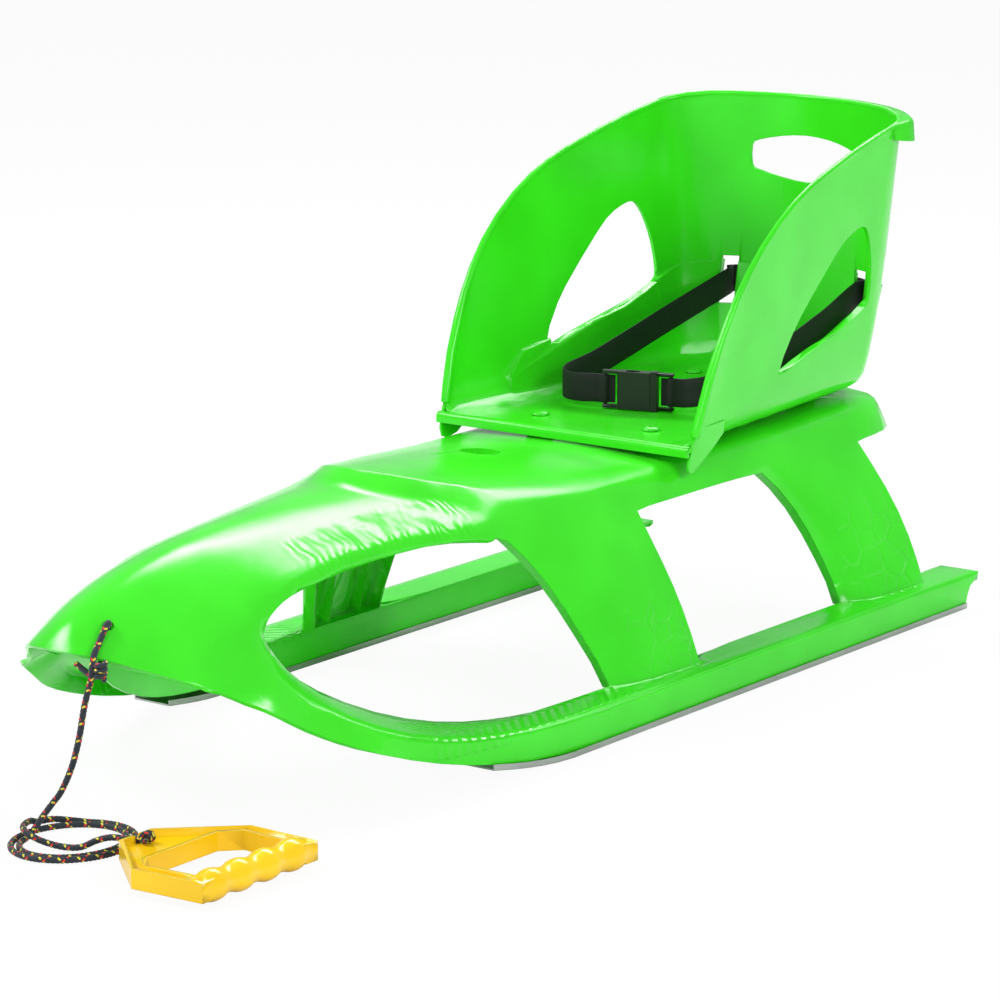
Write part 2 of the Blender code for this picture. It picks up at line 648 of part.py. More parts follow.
SEAT_FOOT = ((0.1510, 0.2140), (0.1445, 0.2000), (0.1400, 0.1860), (0.1415, 0.1785),
             (0.1470, 0.1765),
             (0.1600, 0.1795), (0.1970, 0.2030), (0.1970, 0.2140))

# Columns of the shell along the sled: y of crown, side, skirt, inner edge, outer edge, lip
COLUMNS = [
    ("nose_edge", None),
    ("nose_a", None),
    ("nose_b", None),
    ("nose_c", None),
    ("arch_front", (-0.3720, -0.3640, -0.3600, -0.3694, -0.3815, -0.3890)),
    ("arch_nook", (-0.3400, -0.3420, -0.3440, -0.3560, -0.3740, -0.3790)),
    ("arch_a", (-0.3080, -0.3160, -0.3240, -0.3300, -0.3590, -0.3620)),
    ("arch_b", (-0.2520, -0.2620, -0.2720, -0.2760, -0.3220, -0.3240)),
    ("arch_c", (-0.2130, -0.2080, -0.2080, -0.2200, -0.2640, -0.2640)),
    ("step_foot", (DECK_FRONT_Y - 0.0270, -0.1250, -0.1460, -0.1650, -0.2000, -0.2000)),
    ("step_mid", (DECK_FRONT_Y - 0.0110, -0.1020, -0.1170, -0.1200, -0.1350, -0.1350)),
    ("front_toe", (DECK_FRONT_Y, -0.0900, None, None, -0.0300, -0.0300)),
    ("front_turn", (DECK_FRONT_Y + 0.0200, -0.0520, None, None, -0.0030, -0.0030)),
    ("front_corner", (-0.0950, -0.0120, None, None, 0.0194, 0.0194)),
    ("front_face", (-0.0300, 0.0300, None, None, 0.0560, 0.0560)),
    ("front_heel", (0.0450, 0.0720, None, None, 0.0915, 0.0915)),
    ("mid_a", (0.1150, 0.1120, 0.1080, 0.1060, 0.1080, 0.1080)),
    ("mid_b", (0.1550, 0.1750, 0.1850, 0.2150, 0.2150, 0.2150)),
    ("rear_toe", (0.2620, 0.2640, None, None, 0.3390, 0.3390)),
    ("rear_corner", (0.3040, 0.3050, None, None, 0.3756, 0.3756)),
    ("rear_face", (0.3600, 0.3620, None, None, 0.4100, 0.4100)),
    ("rear_heel", (0.4150, 0.4200, None, None, 0.4440, 0.4440)),
    ("tail_a", (0.4560, 0.4450, 0.4450, 0.4600, 0.4600, 0.4600)),
    ("deck_end", (DECK_REAR_Y, None, None, RUNNER_END_Y, RUNNER_END_Y, RUNNER_END_Y)),
    ("plate_end", (None, None, None, TAIL_Y, TAIL_Y, TAIL_Y)),
]
LEG_COLUMNS = {
    "front_toe": FRONT_LEG["toe"], "front_turn": FRONT_LEG["turn"],
    "front_corner": FRONT_LEG["corner"], "front_face": FRONT_LEG["face"],
    "front_heel": FRONT_LEG["heel"], "rear_toe": REAR_LEG["toe"],
    "rear_corner": REAR_LEG["corner"], "rear_face": REAR_LEG["face"],
    "rear_heel": REAR_LEG["heel"],
}
# Half-widths of the nose lip at each row, and how far round the nose each row sits
NOSE_EDGE_X = (0.0, 0.0130, 0.0265, 0.0380, 0.0470, 0.0540, 0.0590, 0.0640, 0.0690, 0.0740,
               0.0790, 0.0840, 0.0890)
NOSE_SHARE = (0.0, 0.185, 0.360, 0.510, 0.615, 0.690, 0.740, 0.785, 0.825, 0.870, 0.915,
              0.960, 1.0)
NOSE_FULLNESS = 1.8

# Rows 0 to 5 of the step up to the deck, and the ring round the front of the window
STEP = {
    "step_foot": ((0.0, -0.1860, 0.2075), (0.0350, -0.1720, 0.2020), (0.0620, -0.1480, 0.1945),
                  (0.0830, -0.1270, 0.1855), (0.1000, -0.1290, 0.1805), (0.1035, -0.1400, 0.1712)),
    "step_mid": ((0.0, -0.1690, 0.2115), (0.0350, -0.1550, 0.2060), (0.0620, -0.1290, 0.1980),
                 (0.0870, -0.1010, 0.1890), (0.1065, -0.1010, 0.1790), (0.1110, -0.1080, 0.1665)),
    "front_toe": ((0.0, -0.1600, 0.2185), (0.0330, -0.1440, 0.2150), (0.0580, -0.1180, 0.2065),
                  (0.0790, -0.0880, 0.1995), (0.1020, -0.0850, 0.1830), (0.1120, -0.0880, 0.1640)),
    "front_turn": ((0.0, -0.1480, 0.2165), (0.0300, -0.1330, 0.2130), (0.0530, -0.1060, 0.2055),
                   (0.0910, -0.0550, 0.1935), (0.1070, -0.0500, 0.1810), (0.1185, -0.0450, 0.1620)),
}
RING = {
    "nose_c": {5: (0.0850, -0.3850, 0.1495), 6: (0.0885, -0.3885, 0.1430),
               7: (0.0925, -0.3890, 0.1362), 8: (0.0965, -0.3882, 0.1285),
               9: (0.0995, -0.3872, 0.1220), 10: (0.1025, -0.3855, 0.1165),
               11: (0.1140, -0.3950, 0.1000)},
    "arch_front": {6: (0.0826, -0.3665, 0.1405), 7: (0.0845, -0.3700, 0.1342)},
}


def lip_at_x(x):
    """The point of the nose lip at a half-width."""
    low, high = NOSE_Y, -0.4200
    for _ in range(40):
        middle = 0.5 * (low + high)
        if LIP(middle)[0] < x:
            low = middle
        else:
            high = middle
    px, pz = LIP(high)
    return Vector((x, high, pz))


def nose_height(x, y):
    """Height of the nose above a point in plan: a parabola-like section down to the lip."""
    lip_x, lip_z = LIP(y)
    crown = CROWN(y)[0]
    share = min(1.0, x / max(lip_x, 1e-6))
    return lip_z + (crown - lip_z) * (1.0 - share ** NOSE_FULLNESS)


def nose_section(crown_y, lip_y):
    """Rows of a nose column, set back from the lip by less and less towards its end."""
    lip_x = LIP(lip_y)[0]
    set_back = crown_y - NOSE_Y
    rows = []
    for share in NOSE_SHARE:
        edge = lip_at_x(lip_x * share)
        y = edge.y + set_back * (1.0 - share ** 2.5)
        rows.append(Vector((edge.x, y, nose_height(edge.x, y))))
    return rows


def hull_rows(crown_y, side_y, skirt_y):
    """Rows 0 to 5 of the narrow body between the nose and the deck."""
    crown = Vector((0.0, crown_y, CROWN(crown_y)[0]))
    shoulder_y = 0.35 * crown_y + 0.65 * side_y
    x, z = HULL_SHOULDER(shoulder_y)
    shoulder = Vector((x, shoulder_y, z))
    x, z = HULL_SIDE(side_y)
    side = Vector((x, side_y, z))
    x, z = SKIRT(skirt_y)
    skirt = Vector((x, skirt_y, z))
    inner = Vector((0.55 * shoulder.x, 0.7 * crown_y + 0.3 * shoulder_y,
                    crown.z + 0.30 * (shoulder.z - crown.z)))
    band = Vector((skirt.x + 0.0005, 0.3 * side_y + 0.7 * skirt_y, skirt.z + 0.0115))
    band.x = max(band.x - 0.002, side.x + 0.006)
    return [crown, inner, shoulder, side, band, skirt]


def deck_rows(crown_y, rim_y, skirt):
    """Rows 0 to 5 across the cambered deck, its rim and its side."""
    crown = Vector((0.0, crown_y, DECK_TOP(crown_y)[0]))
    rim_x, rim_z = DECK_RIM(rim_y)
    rim = Vector((rim_x, rim_y, rim_z))
    rows = [crown]
    for share in (0.42, 0.80):
        y = crown.y + (rim.y - crown.y) * share ** 2.4
        rows.append(Vector((rim.x * share, y, crown.z + (rim.z - crown.z) * share ** 2)))
    side = rim.lerp(skirt, 0.42)
    side.x = rim.x + 0.78 * (skirt.x - rim.x)
    return rows + [rim, side, skirt]


def plate_row(inner, outer):
    """A point across the runner plate, slightly crowned."""
    middle = inner.lerp(outer, 0.55)
    middle.z += 0.0004
    return middle


def cage_points():
    """Every control point of the half shell, keyed by (column, row)."""
    points = {}
    names = [name for name, _ in COLUMNS]
    for c, (name, ys) in enumerate(COLUMNS):
        rows = [None] * ROWS
        if name == "nose_edge":
            rows = [lip_at_x(x) for x in NOSE_EDGE_X]
        elif name == "nose_a":
            rows = nose_section(NOSE_Y + 0.0130, -0.4330)
        elif name == "nose_b":
            rows = nose_section(NOSE_Y + 0.0480, -0.4170)
        elif name == "nose_c":
            rows = nose_section(NOSE_Y + 0.0930, -0.4010)
        else:
            crown_y, side_y, skirt_y, inner_y, outer_y, lip_y = ys
            if name == "deck_end":
                z = DECK_Z - CAMBER
                corner = Vector((DECK_CREST - 0.0025, DECK_REAR_Y - 0.0060, z))
                foot = Vector((corner.x + 0.0100, corner.y + 0.0080, SKIRT_Z))
                rows[0] = Vector((0.0, DECK_REAR_Y - 0.0040, z + 0.0075))
                rows[1] = Vector((0.0420, DECK_REAR_Y - 0.0045, z + 0.0060))
                rows[2] = Vector((0.0760, DECK_REAR_Y - 0.0080, z + 0.0030))
                rows[3] = corner
                rows[4] = corner.lerp(foot, 0.6)
                rows[5] = foot
            elif name in STEP:
                rows[:6] = [Vector(p) for p in STEP[name]]
            elif name.startswith("arch"):
                rows[:6] = hull_rows(crown_y, side_y, skirt_y)
            elif crown_y is not None:
                if name in LEG_COLUMNS:
                    skirt = Vector(LEG_COLUMNS[name][0])
                else:
                    x, z = SKIRT(skirt_y)
                    skirt = Vector((x, skirt_y, z))
                rows[:6] = deck_rows(crown_y, side_y, skirt)
            if name in LEG_COLUMNS:
                for i, point in enumerate(LEG_COLUMNS[name]):
                    rows[SKIRT_ROW + i] = Vector(point)
            else:
                ix, iz = INNER_EDGE(inner_y)
                rows[FOOT_ROW] = Vector((ix, inner_y, iz))
            ox, oz = OUTER_EDGE(outer_y)
            rows[OUTER_ROW] = Vector((ox, outer_y, oz))
            rows[9] = plate_row(rows[FOOT_ROW], rows[OUTER_ROW])
            lx, lz = LIP(lip_y)
            lip = Vector((lx, lip_y, lz))
            drop_share = min(0.9, PLATE_RIM / max(0.001, oz - lz))
            rows[RIM_ROW] = rows[OUTER_ROW].lerp(lip, drop_share)
            if name != "plate_end":
                rows[LIP_ROW] = lip
        for r, point in RING.get(name, {}).items():
            rows[r] = Vector(point)
        for r, point in enumerate(rows):
            if point is not None:
                points[(c, r)] = point
    return points, names


# How far the window edges fold inwards, and the flanges of the legs
ARCH_FOLD = 0.0090
FOLD_END = {"step_foot": (-0.0075, 0.0, -0.0030), "step_mid": (-0.0030, 0.0, -0.0060)}
LEG_TOE_FLANGE = 0.0130
LEG_HEEL_FLANGE = 0.0230
RAISED_WEB = 0.0070
WEB_DRAFT = 0.0012
WEB_DEPTH = PLATE_Z - WEB_FOOT_Z
LEG_EDGES = ("front_toe", "front_heel", "rear_toe", "rear_heel")


def shell_cage():
    """The control cage of half the moulding, with creased edges and folded window edges."""
    points, names = cage_points()
    column = {name: c for c, name in enumerate(names)}
    end = column["deck_end"]
    tail = column["plate_end"]
    bm = bmesh.new()
    crease = bm.edges.layers.float.new("crease_edge")
    groups = bm.verts.layers.deform.new()
    verts = {}
    for key, point in points.items():
        verts[key] = bm.verts.new(point)
    for g, name in enumerate(LEG_EDGES):
        for r in range(SKIRT_ROW, FOOT_ROW + 1):
            verts[(column[name], r)][groups][g] = 1.0
    for r in range(4):
        rim = points[(end, r)]
        low = Vector((rim.x * 1.05, rim.y + 0.0060, SKIRT_Z))
        middle = rim.lerp(low, 0.55) + Vector((0.0, 0.0015, 0.0))
        if r < 3:
            verts[("mid", r)] = bm.verts.new(middle)
            verts[("low", r)] = bm.verts.new(low)
        else:
            verts[("mid", r)] = verts[(end, 4)]
            verts[("low", r)] = verts[(end, 5)]

    def quad(*keys):
        corner = [verts.get(k) for k in keys]
        if any(v is None for v in corner):
            return None
        return bm.faces.new(corner)

    legs = (("front_toe", "front_heel"), ("rear_toe", "rear_heel"))
    for c in range(tail):
        for r in range(ROWS - 1):
            if c == end and (r < FOOT_ROW or r == RIM_ROW):
                continue
            if SKIRT_ROW <= r < FOOT_ROW:
                in_leg = any(column[a] <= c < column[b] for a, b in legs)
                if not (c < column["arch_front"] or in_leg):
                    continue
            quad((c, r), (c, r + 1), (c + 1, r + 1), (c + 1, r))
    for r in range(3):
        quad((end, r), (end, r + 1), ("mid", r + 1), ("mid", r))
        quad(("mid", r), ("mid", r + 1), ("low", r + 1), ("low", r))
    for key in [k for k, v in verts.items() if not v.link_faces]:
        bm.verts.remove(verts.pop(key))

    def mark(a, b, weight):
        first, second = verts.get(a), verts.get(b)
        if first is None or second is None:
            return
        edge = bm.edges.get((first, second))
        if edge is not None:
            edge[crease] = max(edge[crease], weight)

    for c in range(len(names)):
        for r, start, weight in ((2, "arch_front", 0.20), (SHOULDER_ROW, "front_toe", 0.35),
                                 (SKIRT_ROW, "arch_front", 0.75), (FOOT_ROW, "arch_front", 0.80),
                                 (OUTER_ROW, "arch_front", 0.45), (OUTER_ROW, "arch_b", 0.62),
                                 (LIP_ROW, "nose_edge", 0.90), (RIM_ROW, "deck_end", 0.90)):
            if c >= column[start]:
                mark((c, r), (c + 1, r), weight)
    for r in range(ROWS - 1):
        mark((0, r), (0, r + 1), 0.90)
        if SKIRT_ROW <= r < FOOT_ROW:
            mark((column["arch_front"], r), (column["arch_front"], r + 1), 0.60)
            for name in LEG_EDGES:
                mark((column[name], r), (column[name], r + 1), 0.85)
        mark((tail, r), (tail, r + 1), 0.90)
        if r < SHOULDER_ROW:
            mark((column["front_toe"], r), (column["front_toe"], r + 1), 0.35)
            mark((column["step_foot"], r), (column["step_foot"], r + 1), 0.45)
            mark((end, r), (end, r + 1), 0.55)
            mark(("low", r), ("low", r + 1), 0.75)
    mark((end, RIM_ROW), (end, LIP_ROW), 0.9)

    fold_edges(bm, verts, points, column)
    result = bpy.data.meshes.new("cage")
    bm.normal_update()
    bm.to_mesh(result)
    bm.free()
    return result


def fold_edges(bm, verts, points, column):
    """Fold the window's edges inwards and the plate's tail down."""
    tail = column["plate_end"]
    fold = {}
    for c in range(column["arch_front"], column["step_mid"] + 1):
        fold[verts[(c, SKIRT_ROW)]] = Vector((-ARCH_FOLD, 0.0, -0.0010))
        edge = points[(c, FOOT_ROW)]
        low = LIP(edge.y)[1] + RAISED_WEB
        fold[verts[(c, FOOT_ROW)]] = Vector((WEB_DRAFT, 0.0, -min(edge.z - low, WEB_DEPTH)))
    for name, turn in FOLD_END.items():
        fold[verts[(column[name], SKIRT_ROW)]] = Vector(turn)
    for r in (6, 7):
        fold[verts[(column["arch_front"], r)]] = Vector((-ARCH_FOLD * 0.8, -0.0020, 0.0))
    for r in (FOOT_ROW, 9):
        fold[verts[(tail, r)]] = Vector((0.0, 0.0, -PLATE_RIM))
    moved = {verts[(tail, OUTER_ROW)]: verts[(tail, RIM_ROW)]}
    free = [e for e in bm.edges if e.is_boundary and all(v in fold or v in moved for v in e.verts)]
    for edge in free:
        loop = edge.link_loops[0]
        a, b = loop.vert, loop.link_loop_next.vert
        for v in (a, b):
            if v not in moved:
                moved[v] = bm.verts.new(v.co + fold[v])
        bm.faces.new((b, a, moved[a], moved[b]))


def moulding_skin(levels):
    """The outer surface of the whole moulding, without thickness."""
    skin = scratch(shell_cage())
    for name in LEG_EDGES:
        skin.vertex_groups.new(name=name)
    mirror = skin.modifiers.new("mirror", "MIRROR")
    mirror.use_clip = True
    mirror.merge_threshold = 0.0001
    smooth = skin.modifiers.new("smooth", "SUBSURF")
    smooth.levels = levels
    smooth.render_levels = levels
    mesh = evaluated(skin)
    drop(skin)
    return mesh


def leg_edge_line(skin, name):
    """The smoothed line of one leg edge on the left side, from the top down."""
    index = LEG_EDGES.index(name)
    line = []
    for vertex in skin.vertices:
        held = any(g.group == index and g.weight > 0.999 for g in vertex.groups)
        if held and vertex.co.x > 0.0:
            line.append(vertex.co.copy())
    line.sort(key=lambda p: -p.z)
    return line


def moulding_shell(levels):
    """The moulding with its wall thickness, as one closed solid."""
    shell = scratch(moulding_skin(levels))
    flat = shell.modifiers.new("flat", "DECIMATE")
    flat.decimate_type = "DISSOLVE"
    flat.angle_limit = FLAT_ANGLE
    shell.modifiers.new("facets", "TRIANGULATE")
    thick = shell.modifiers.new("wall", "SOLIDIFY")
    thick.thickness = WALL
    thick.offset = -1.0
    thick.use_even_offset = False
    mesh = evaluated(shell)
    drop(shell)
    return mesh


def cylinder(centre, radius, low, high, sides=24):
    """A vertical cylinder between two heights."""
    profile = [(0.0, low), (radius, low), (radius, high), (0.0, high)]
    return turned(profile, (centre[0], centre[1], 0.0), sides)


def inner_hit(tree, start, direction):
    """Where a ray from inside first meets the moulding."""
    hit = tree.ray_cast(Vector(start), Vector(direction))
    return hit[0]


def sheet_solid(edge_a, edge_b, half_thick, side):
    """A thin wall between two point rows, thickened along a direction."""
    push = Vector(side).normalized() * half_thick
    rows = []
    for a, b in zip(edge_a, edge_b):
        rows.append([Vector(a) - push, Vector(b) - push, Vector(b) + push, Vector(a) + push])
    points = [p for row in rows for p in row]
    faces = [(0, 1, 2, 3)]
    last = 4 * (len(rows) - 1)
    faces.append((last, last + 1, last + 2, last + 3))
    for i in range(len(rows) - 1):
        for k in range(4):
            m = (k + 1) % 4
            faces.append((4 * i + k, 4 * i + m, 4 * i + 4 + m, 4 * i + 4 + k))
    return mesh_from(points, faces)


def leg_ribs(tree, y_top, y_foot):
    """One rib down the inside of a leg, following its wall."""
    outer = []
    inner = []
    for i in range(6):
        t = i / 5
        z = SKIRT_Z - 0.0060 - t * (SKIRT_Z - PLATE_Z - 0.0080)
        y = y_top + (y_foot - y_top) * t ** 0.8
        hit = inner_hit(tree, (0.0950, y, z), (1.0, 0.0, 0.0))
        if hit is None:
            continue
        outer.append((hit.x + 0.0012, y, z))
        inner.append((hit.x - LEG_RIB_DEPTH, y, z))
    return sheet_solid(outer, inner, 0.5 * WEB_RIB, (0.0, 1.0, 0.25))


def deck_ribs(tree):
    """Ribs under the deck: two along it and several across."""
    ribs = []
    low = DECK_Z - DECK_RIB_DEPTH
    for x in (-DECK_RIB_X, DECK_RIB_X):
        top = []
        base = []
        for i in range(11):
            y = DECK_RIB_FRONT_Y + i * (DECK_RIB_REAR_Y - DECK_RIB_FRONT_Y) / 10
            hit = inner_hit(tree, (x, y, low), (0.0, 0.0, 1.0))
            top.append((x, y, hit.z + 0.0012))
            base.append((x, y, hit.z - DECK_RIB_DEPTH))
        ribs.append(sheet_solid(top, base, 0.5 * WEB_RIB, (1.0, 0.0, 0.0)))
    for y in DECK_CROSS_RIB_Y:
        top = []
        base = []
        for i in range(7):
            x = DECK_RIB_REACH * (i / 3 - 1.0)
            hit = inner_hit(tree, (x, y, low), (0.0, 0.0, 1.0))
            top.append((x, y, hit.z + 0.0012))
            base.append((x, y, hit.z - DECK_RIB_DEPTH))
        ribs.append(sheet_solid(top, base, 0.5 * WEB_RIB, (0.0, 1.0, 0.0)))
    return ribs


def nose_ribs(tree):
    """Upright ribs along the underside of the nose, seen in its mouth."""
    ribs = []
    for x in NOSE_RIB_X:
        top = []
        base = []
        front = lip_at_x(abs(x)).y + 0.0120
        for i in range(6):
            y = front + i * (NOSE_RIB_END_Y - front) / 5
            floor = LIP(y)[1] + 0.0015 if y < -0.4200 else 0.1000 + 0.35 * (y + 0.4200)
            hit = inner_hit(tree, (x, y, floor), (0.0, 0.0, 1.0))
            top.append((x, y, hit.z + 0.0012))
            base.append((x, y, min(max(floor, hit.z - NOSE_RIB_DEPTH), hit.z - 0.0020)))
        ribs.append(sheet_solid(top, base, 0.5 * WEB_RIB, (1.0, 0.0, 0.0)))
    return ribs


def leg_flange(skin, name, depth, forward):
    """The inward flange along one edge of a leg: forward is +1 where the leg lies behind it."""
    line = leg_edge_line(skin, name)
    outer = []
    inner = []
    for i, point in enumerate(line):
        t = i / (len(line) - 1)
        reach = depth * (1.0 - 0.35 * t)
        start = Vector((point.x - 0.0008, point.y + 0.0018 * forward, point.z - 0.0004))
        if i == len(line) - 1:
            start.z -= 0.0015
        outer.append(start)
        inner.append(start + Vector((-reach, 0.25 * reach * max(forward, 0.0), -0.0008)))
    return sheet_solid(outer, inner, 0.5 * WALL * 0.9, (0.0, 1.0, 0.35))


def foot_floor(line, toe_y, heel_y):
    """The floor of a leg's foot, closing the runner plate under the hollow leg."""
    outline = [(PLATE_INNER + 0.0012, toe_y), (PLATE_INNER + 0.0012, heel_y)]
    outline += [(p[0] + 0.0015, p[1]) for p in reversed(line)]
    return prism(outline, PLATE_Z - WALL - 0.0006, PLATE_Z - 0.0006, 2)


def runner_parts():
    """Walls and bosses inside the left runner that the shell does not carry."""
    parts = []
    web_low = strip_edge(0.0) - STRIP_WIDTH + STRIP_METAL + SEAT_GAP
    parts.append(box((web_low, WEB_FRONT_Y, WEB_FOOT_Z),
                     (web_low + WALL, RUNNER_END_Y - 0.0003, PLATE_Z - 0.0008)))
    for line in (front_foot, rear_foot):
        parts.append(foot_floor(line, line[0][1] - 0.012, line[-1][1] + 0.012))
    parts.append(box((web_low + 0.0010, RUNNER_END_Y - WALL, WEB_FOOT_Z),
                     (LIP_X - 0.0010, RUNNER_END_Y - 0.0002, PLATE_Z - 0.0010)))
    for y in STRIP_SCREW_Y:
        low = LIP(y)[1] + 0.0004
        x = strip_middle(y)
        parts.append(cylinder((x, y), 0.0055, low, PLATE_Z - 0.0010, 10))
    return parts


def strip_edge(y):
    """Outer face of the steel strip, following the runner wall."""
    return LIP(y)[0] + RUNNER_HALF - STRIP_INSET - LIP_X


def strip_middle(y):
    return strip_edge(y) - 0.5 * STRIP_WIDTH


front_foot = [FRONT_LEG[k][3] for k in ("toe", "turn", "corner", "face", "heel")]
rear_foot = [REAR_LEG[k][3] for k in ("toe", "corner", "face", "heel")]

def bolt_places():
    return [(sx * BOLT_X, y) for y in (BOLT_FRONT_Y, BOLT_REAR_Y) for sx in (-1.0, 1.0)]


def sled_moulding():
    """The whole sled body with its ribs, bosses, collar and holes."""
    shell = moulding_shell(1)
    tree = BVHTree.FromPolygons([v.co.copy() for v in shell.vertices],
                                [tuple(p.vertices) for p in shell.polygons])
    skin = moulding_skin(1)
    left = runner_parts()
    for name in LEG_EDGES:
        toe = name.endswith("toe")
        left.append(leg_flange(skin, name, LEG_TOE_FLANGE if toe else LEG_HEEL_FLANGE,
                               1.0 if toe else -1.0))
    left += [leg_ribs(tree, y0, y1) for y0, y1 in LEG_RIB_LINES]
    adds = left + [mirrored(m) for m in left]
    adds += deck_ribs(tree) + nose_ribs(tree)
    hit = inner_hit(tree, (0.0, HOLE_Y, 0.1500), (0.0, 0.0, 1.0))
    adds.append(cylinder((0.0, HOLE_Y), HOLE_RADIUS + WALL, hit.z - HOLE_COLLAR, hit.z + 0.0010, 24))
    for x, y in bolt_places():
        adds.append(cylinder((x, y), BOSS_RADIUS, BOSS_UNDER_Z, SEAT_UNDER_Z - SEAT_GAP, 16))
    whole = boolean(shell, adds, "UNION")
    cuts = [cylinder((0.0, HOLE_Y), HOLE_RADIUS, 0.1000, 0.2500, 24)]
    for x, y in bolt_places():
        cuts.append(cylinder((x, y), BOLT_RADIUS + BOLT_CLEARANCE, 0.1500, 0.2200, 12))
    for sx in (-1.0, 1.0):
        for y in STRIP_SCREW_Y:
            cuts.append(cylinder((sx * strip_middle(y), y), STRIP_SCREW_RADIUS + BOLT_CLEARANCE,
                                 -0.0100, 0.0240, 10))
    hole = cylinder((0.0, 0.0), ROPE_HOLE_RADIUS, -0.0150, 0.0200, 12)
    lean = Vector(ROPE_HOLE_AXIS).to_track_quat("Z", "Y").to_matrix().to_4x4()
    hole.transform(Matrix.Translation(Vector(ROPE_HOLE)) @ lean)
    cuts.append(hole)
    return lightened(boolean(whole, [joined(cuts)], "DIFFERENCE"), 0.66)


link("sled_body", sled_moulding(), GREEN)


def seat_wall_x(y, z):
    """Half-width of the seat's outer face: the walls open to the front and upwards."""
    return SEAT_HALF - SEAT_TOE * (y - SEAT_HALF_AT_Y) + SEAT_LEAN * (z - SEAT_HALF_AT_Z)


def seat_back_y(x, z):
    """The seat's rear face: bowed in plan, stepped in and tucked under near the deck."""
    tuck = SEAT_TUCK * max(0.0, (SEAT_TUCK_Z - z) / (SEAT_TUCK_Z - SEAT_UNDER_Z)) ** 1.5
    step = SEAT_STEP * min(1.0, max(0.0, (SEAT_STEP_Z - z) / 0.0120))
    return SEAT_BACK_Y - SEAT_BOW * x * x - tuck - step


def seat_plan(z, inset=0.0):
    """Plan points of the seat's wall at one height, from behind the front edge to the centre."""
    points = []
    corner_y = seat_back_y(0.095, z) - SEAT_CORNER
    for share in (0.0, 0.5, 1.0):
        y = 0.4350 + share * (corner_y + 0.0030 - 0.4350)
        points.append((seat_wall_x(y, z) - inset, y))
    side_x = seat_wall_x(corner_y, z)
    for angle in (30.0, 60.0):
        turn = math.radians(angle)
        x = side_x - SEAT_CORNER + (SEAT_CORNER - inset) * math.cos(turn)
        y = corner_y + (SEAT_CORNER - inset) * math.sin(turn) * 0.985
        points.append((x, y))
    for x in (side_x - SEAT_CORNER, 0.55 * (side_x - SEAT_CORNER), 0.0):
        points.append((x, seat_back_y(x, z) - inset))
    return points


def seat_columns():
    """Control columns of half the seat, each from the floor's edge up the wall."""
    columns = []
    base_z = SEAT_UNDER_Z + SEAT_BILGE
    (z0, y0), (z1, y1) = SEAT_NOSE
    front = []
    for share in (0.0, 0.30, 0.62, 0.86, 1.0):
        z = z0 + share * (z1 - z0)
        y = y0 + share * (y1 - y0)
        front.append(Vector((seat_wall_x(y, z), y, z)))
    columns.append(front)
    for y_top, lean in SEAT_STATIONS:
        z_top = SEAT_EDGE(y_top)[0]
        rows = []
        for level in SEAT_LEVELS:
            z = base_z + (z_top - base_z) * level
            y = y_top - lean * (1.0 - level)
            rows.append(Vector((seat_wall_x(y, z), y, z)))
        columns.append(rows)
    side_top = SEAT_EDGE(0.4350)[0]
    for k in range(8):
        top = side_top + (SEAT_BACK_Z - side_top) * min(1.0, k / 5.0)
        rows = []
        for level in SEAT_LEVELS:
            z = base_z + (top - base_z) * level
            x, y = seat_plan(z)[k]
            rows.append(Vector((x, y, z)))
        columns.append(rows)
    full = []
    for c, rows in enumerate(columns):
        low = rows[0]
        drop_z = low.z - SEAT_UNDER_Z
        if c == 0:
            inward = Vector((-1.0, -0.4, 0.0))
        elif c < len(columns) - 5:
            inward = Vector((-1.0, 0.0, 0.0))
        elif c < len(columns) - 3:
            turn = math.radians(30.0 * (c - len(columns) + 6))
            inward = Vector((-math.cos(turn), -math.sin(turn), 0.0))
        else:
            inward = Vector((0.0, -1.0, 0.0))
        reach = drop_z if c else drop_z * 1.6
        flat = low + inward * reach
        flat.z = SEAT_UNDER_Z
        knee = low + inward * reach * 0.30
        knee.z = SEAT_UNDER_Z + drop_z * 0.30
        full.append([flat, knee] + rows)
    return full


def seat_skin(levels):
    """The outer surface of the seat's tub, without thickness."""
    columns = seat_columns()
    bm = bmesh.new()
    crease = bm.edges.layers.float.new("crease_edge")
    groups = bm.verts.layers.deform.new()
    verts = [[bm.verts.new(p) for p in column] for column in columns]
    lip = bm.verts.new((0.0, columns[0][0].y, SEAT_UNDER_Z))
    for c in range(len(verts) - 1):
        for r in range(len(verts[0]) - 1):
            bm.faces.new((verts[c][r], verts[c + 1][r], verts[c + 1][r + 1], verts[c][r + 1]))
    bm.faces.new([lip] + [column[0] for column in verts])
    for c in range(len(verts) - 1):
        bm.edges.get((verts[c][-1], verts[c + 1][-1]))[crease] = 0.8
    for r in range(len(verts[0]) - 1):
        bm.edges.get((verts[0][r], verts[0][r + 1]))[crease] = 0.8
    for vertex in verts[0][2:]:
        vertex[groups][0] = 1.0
    for column in verts:
        column[-1][groups][0] = 1.0
    cage = bpy.data.meshes.new("seat_cage")
    bm.normal_update()
    bmesh.ops.recalc_face_normals(bm, faces=bm.faces)
    low = min(bm.faces, key=lambda f: f.calc_center_median().z)
    if low.normal.z > 0.0:
        bmesh.ops.reverse_faces(bm, faces=bm.faces)
    bm.to_mesh(cage)
    bm.free()
    skin = scratch(cage)
    skin.vertex_groups.new(name="rim")
    mirror = skin.modifiers.new("mirror", "MIRROR")
    mirror.use_clip = True
    mirror.merge_threshold = 0.0001
    smooth = skin.modifiers.new("smooth", "SUBSURF")
    smooth.levels = levels
    smooth.render_levels = levels
    mesh = evaluated(skin)
    drop(skin)
    for vertex in mesh.vertices:
        if vertex.co.z < SEAT_UNDER_Z + 0.0020:
            vertex.co.z = SEAT_UNDER_Z
    return mesh


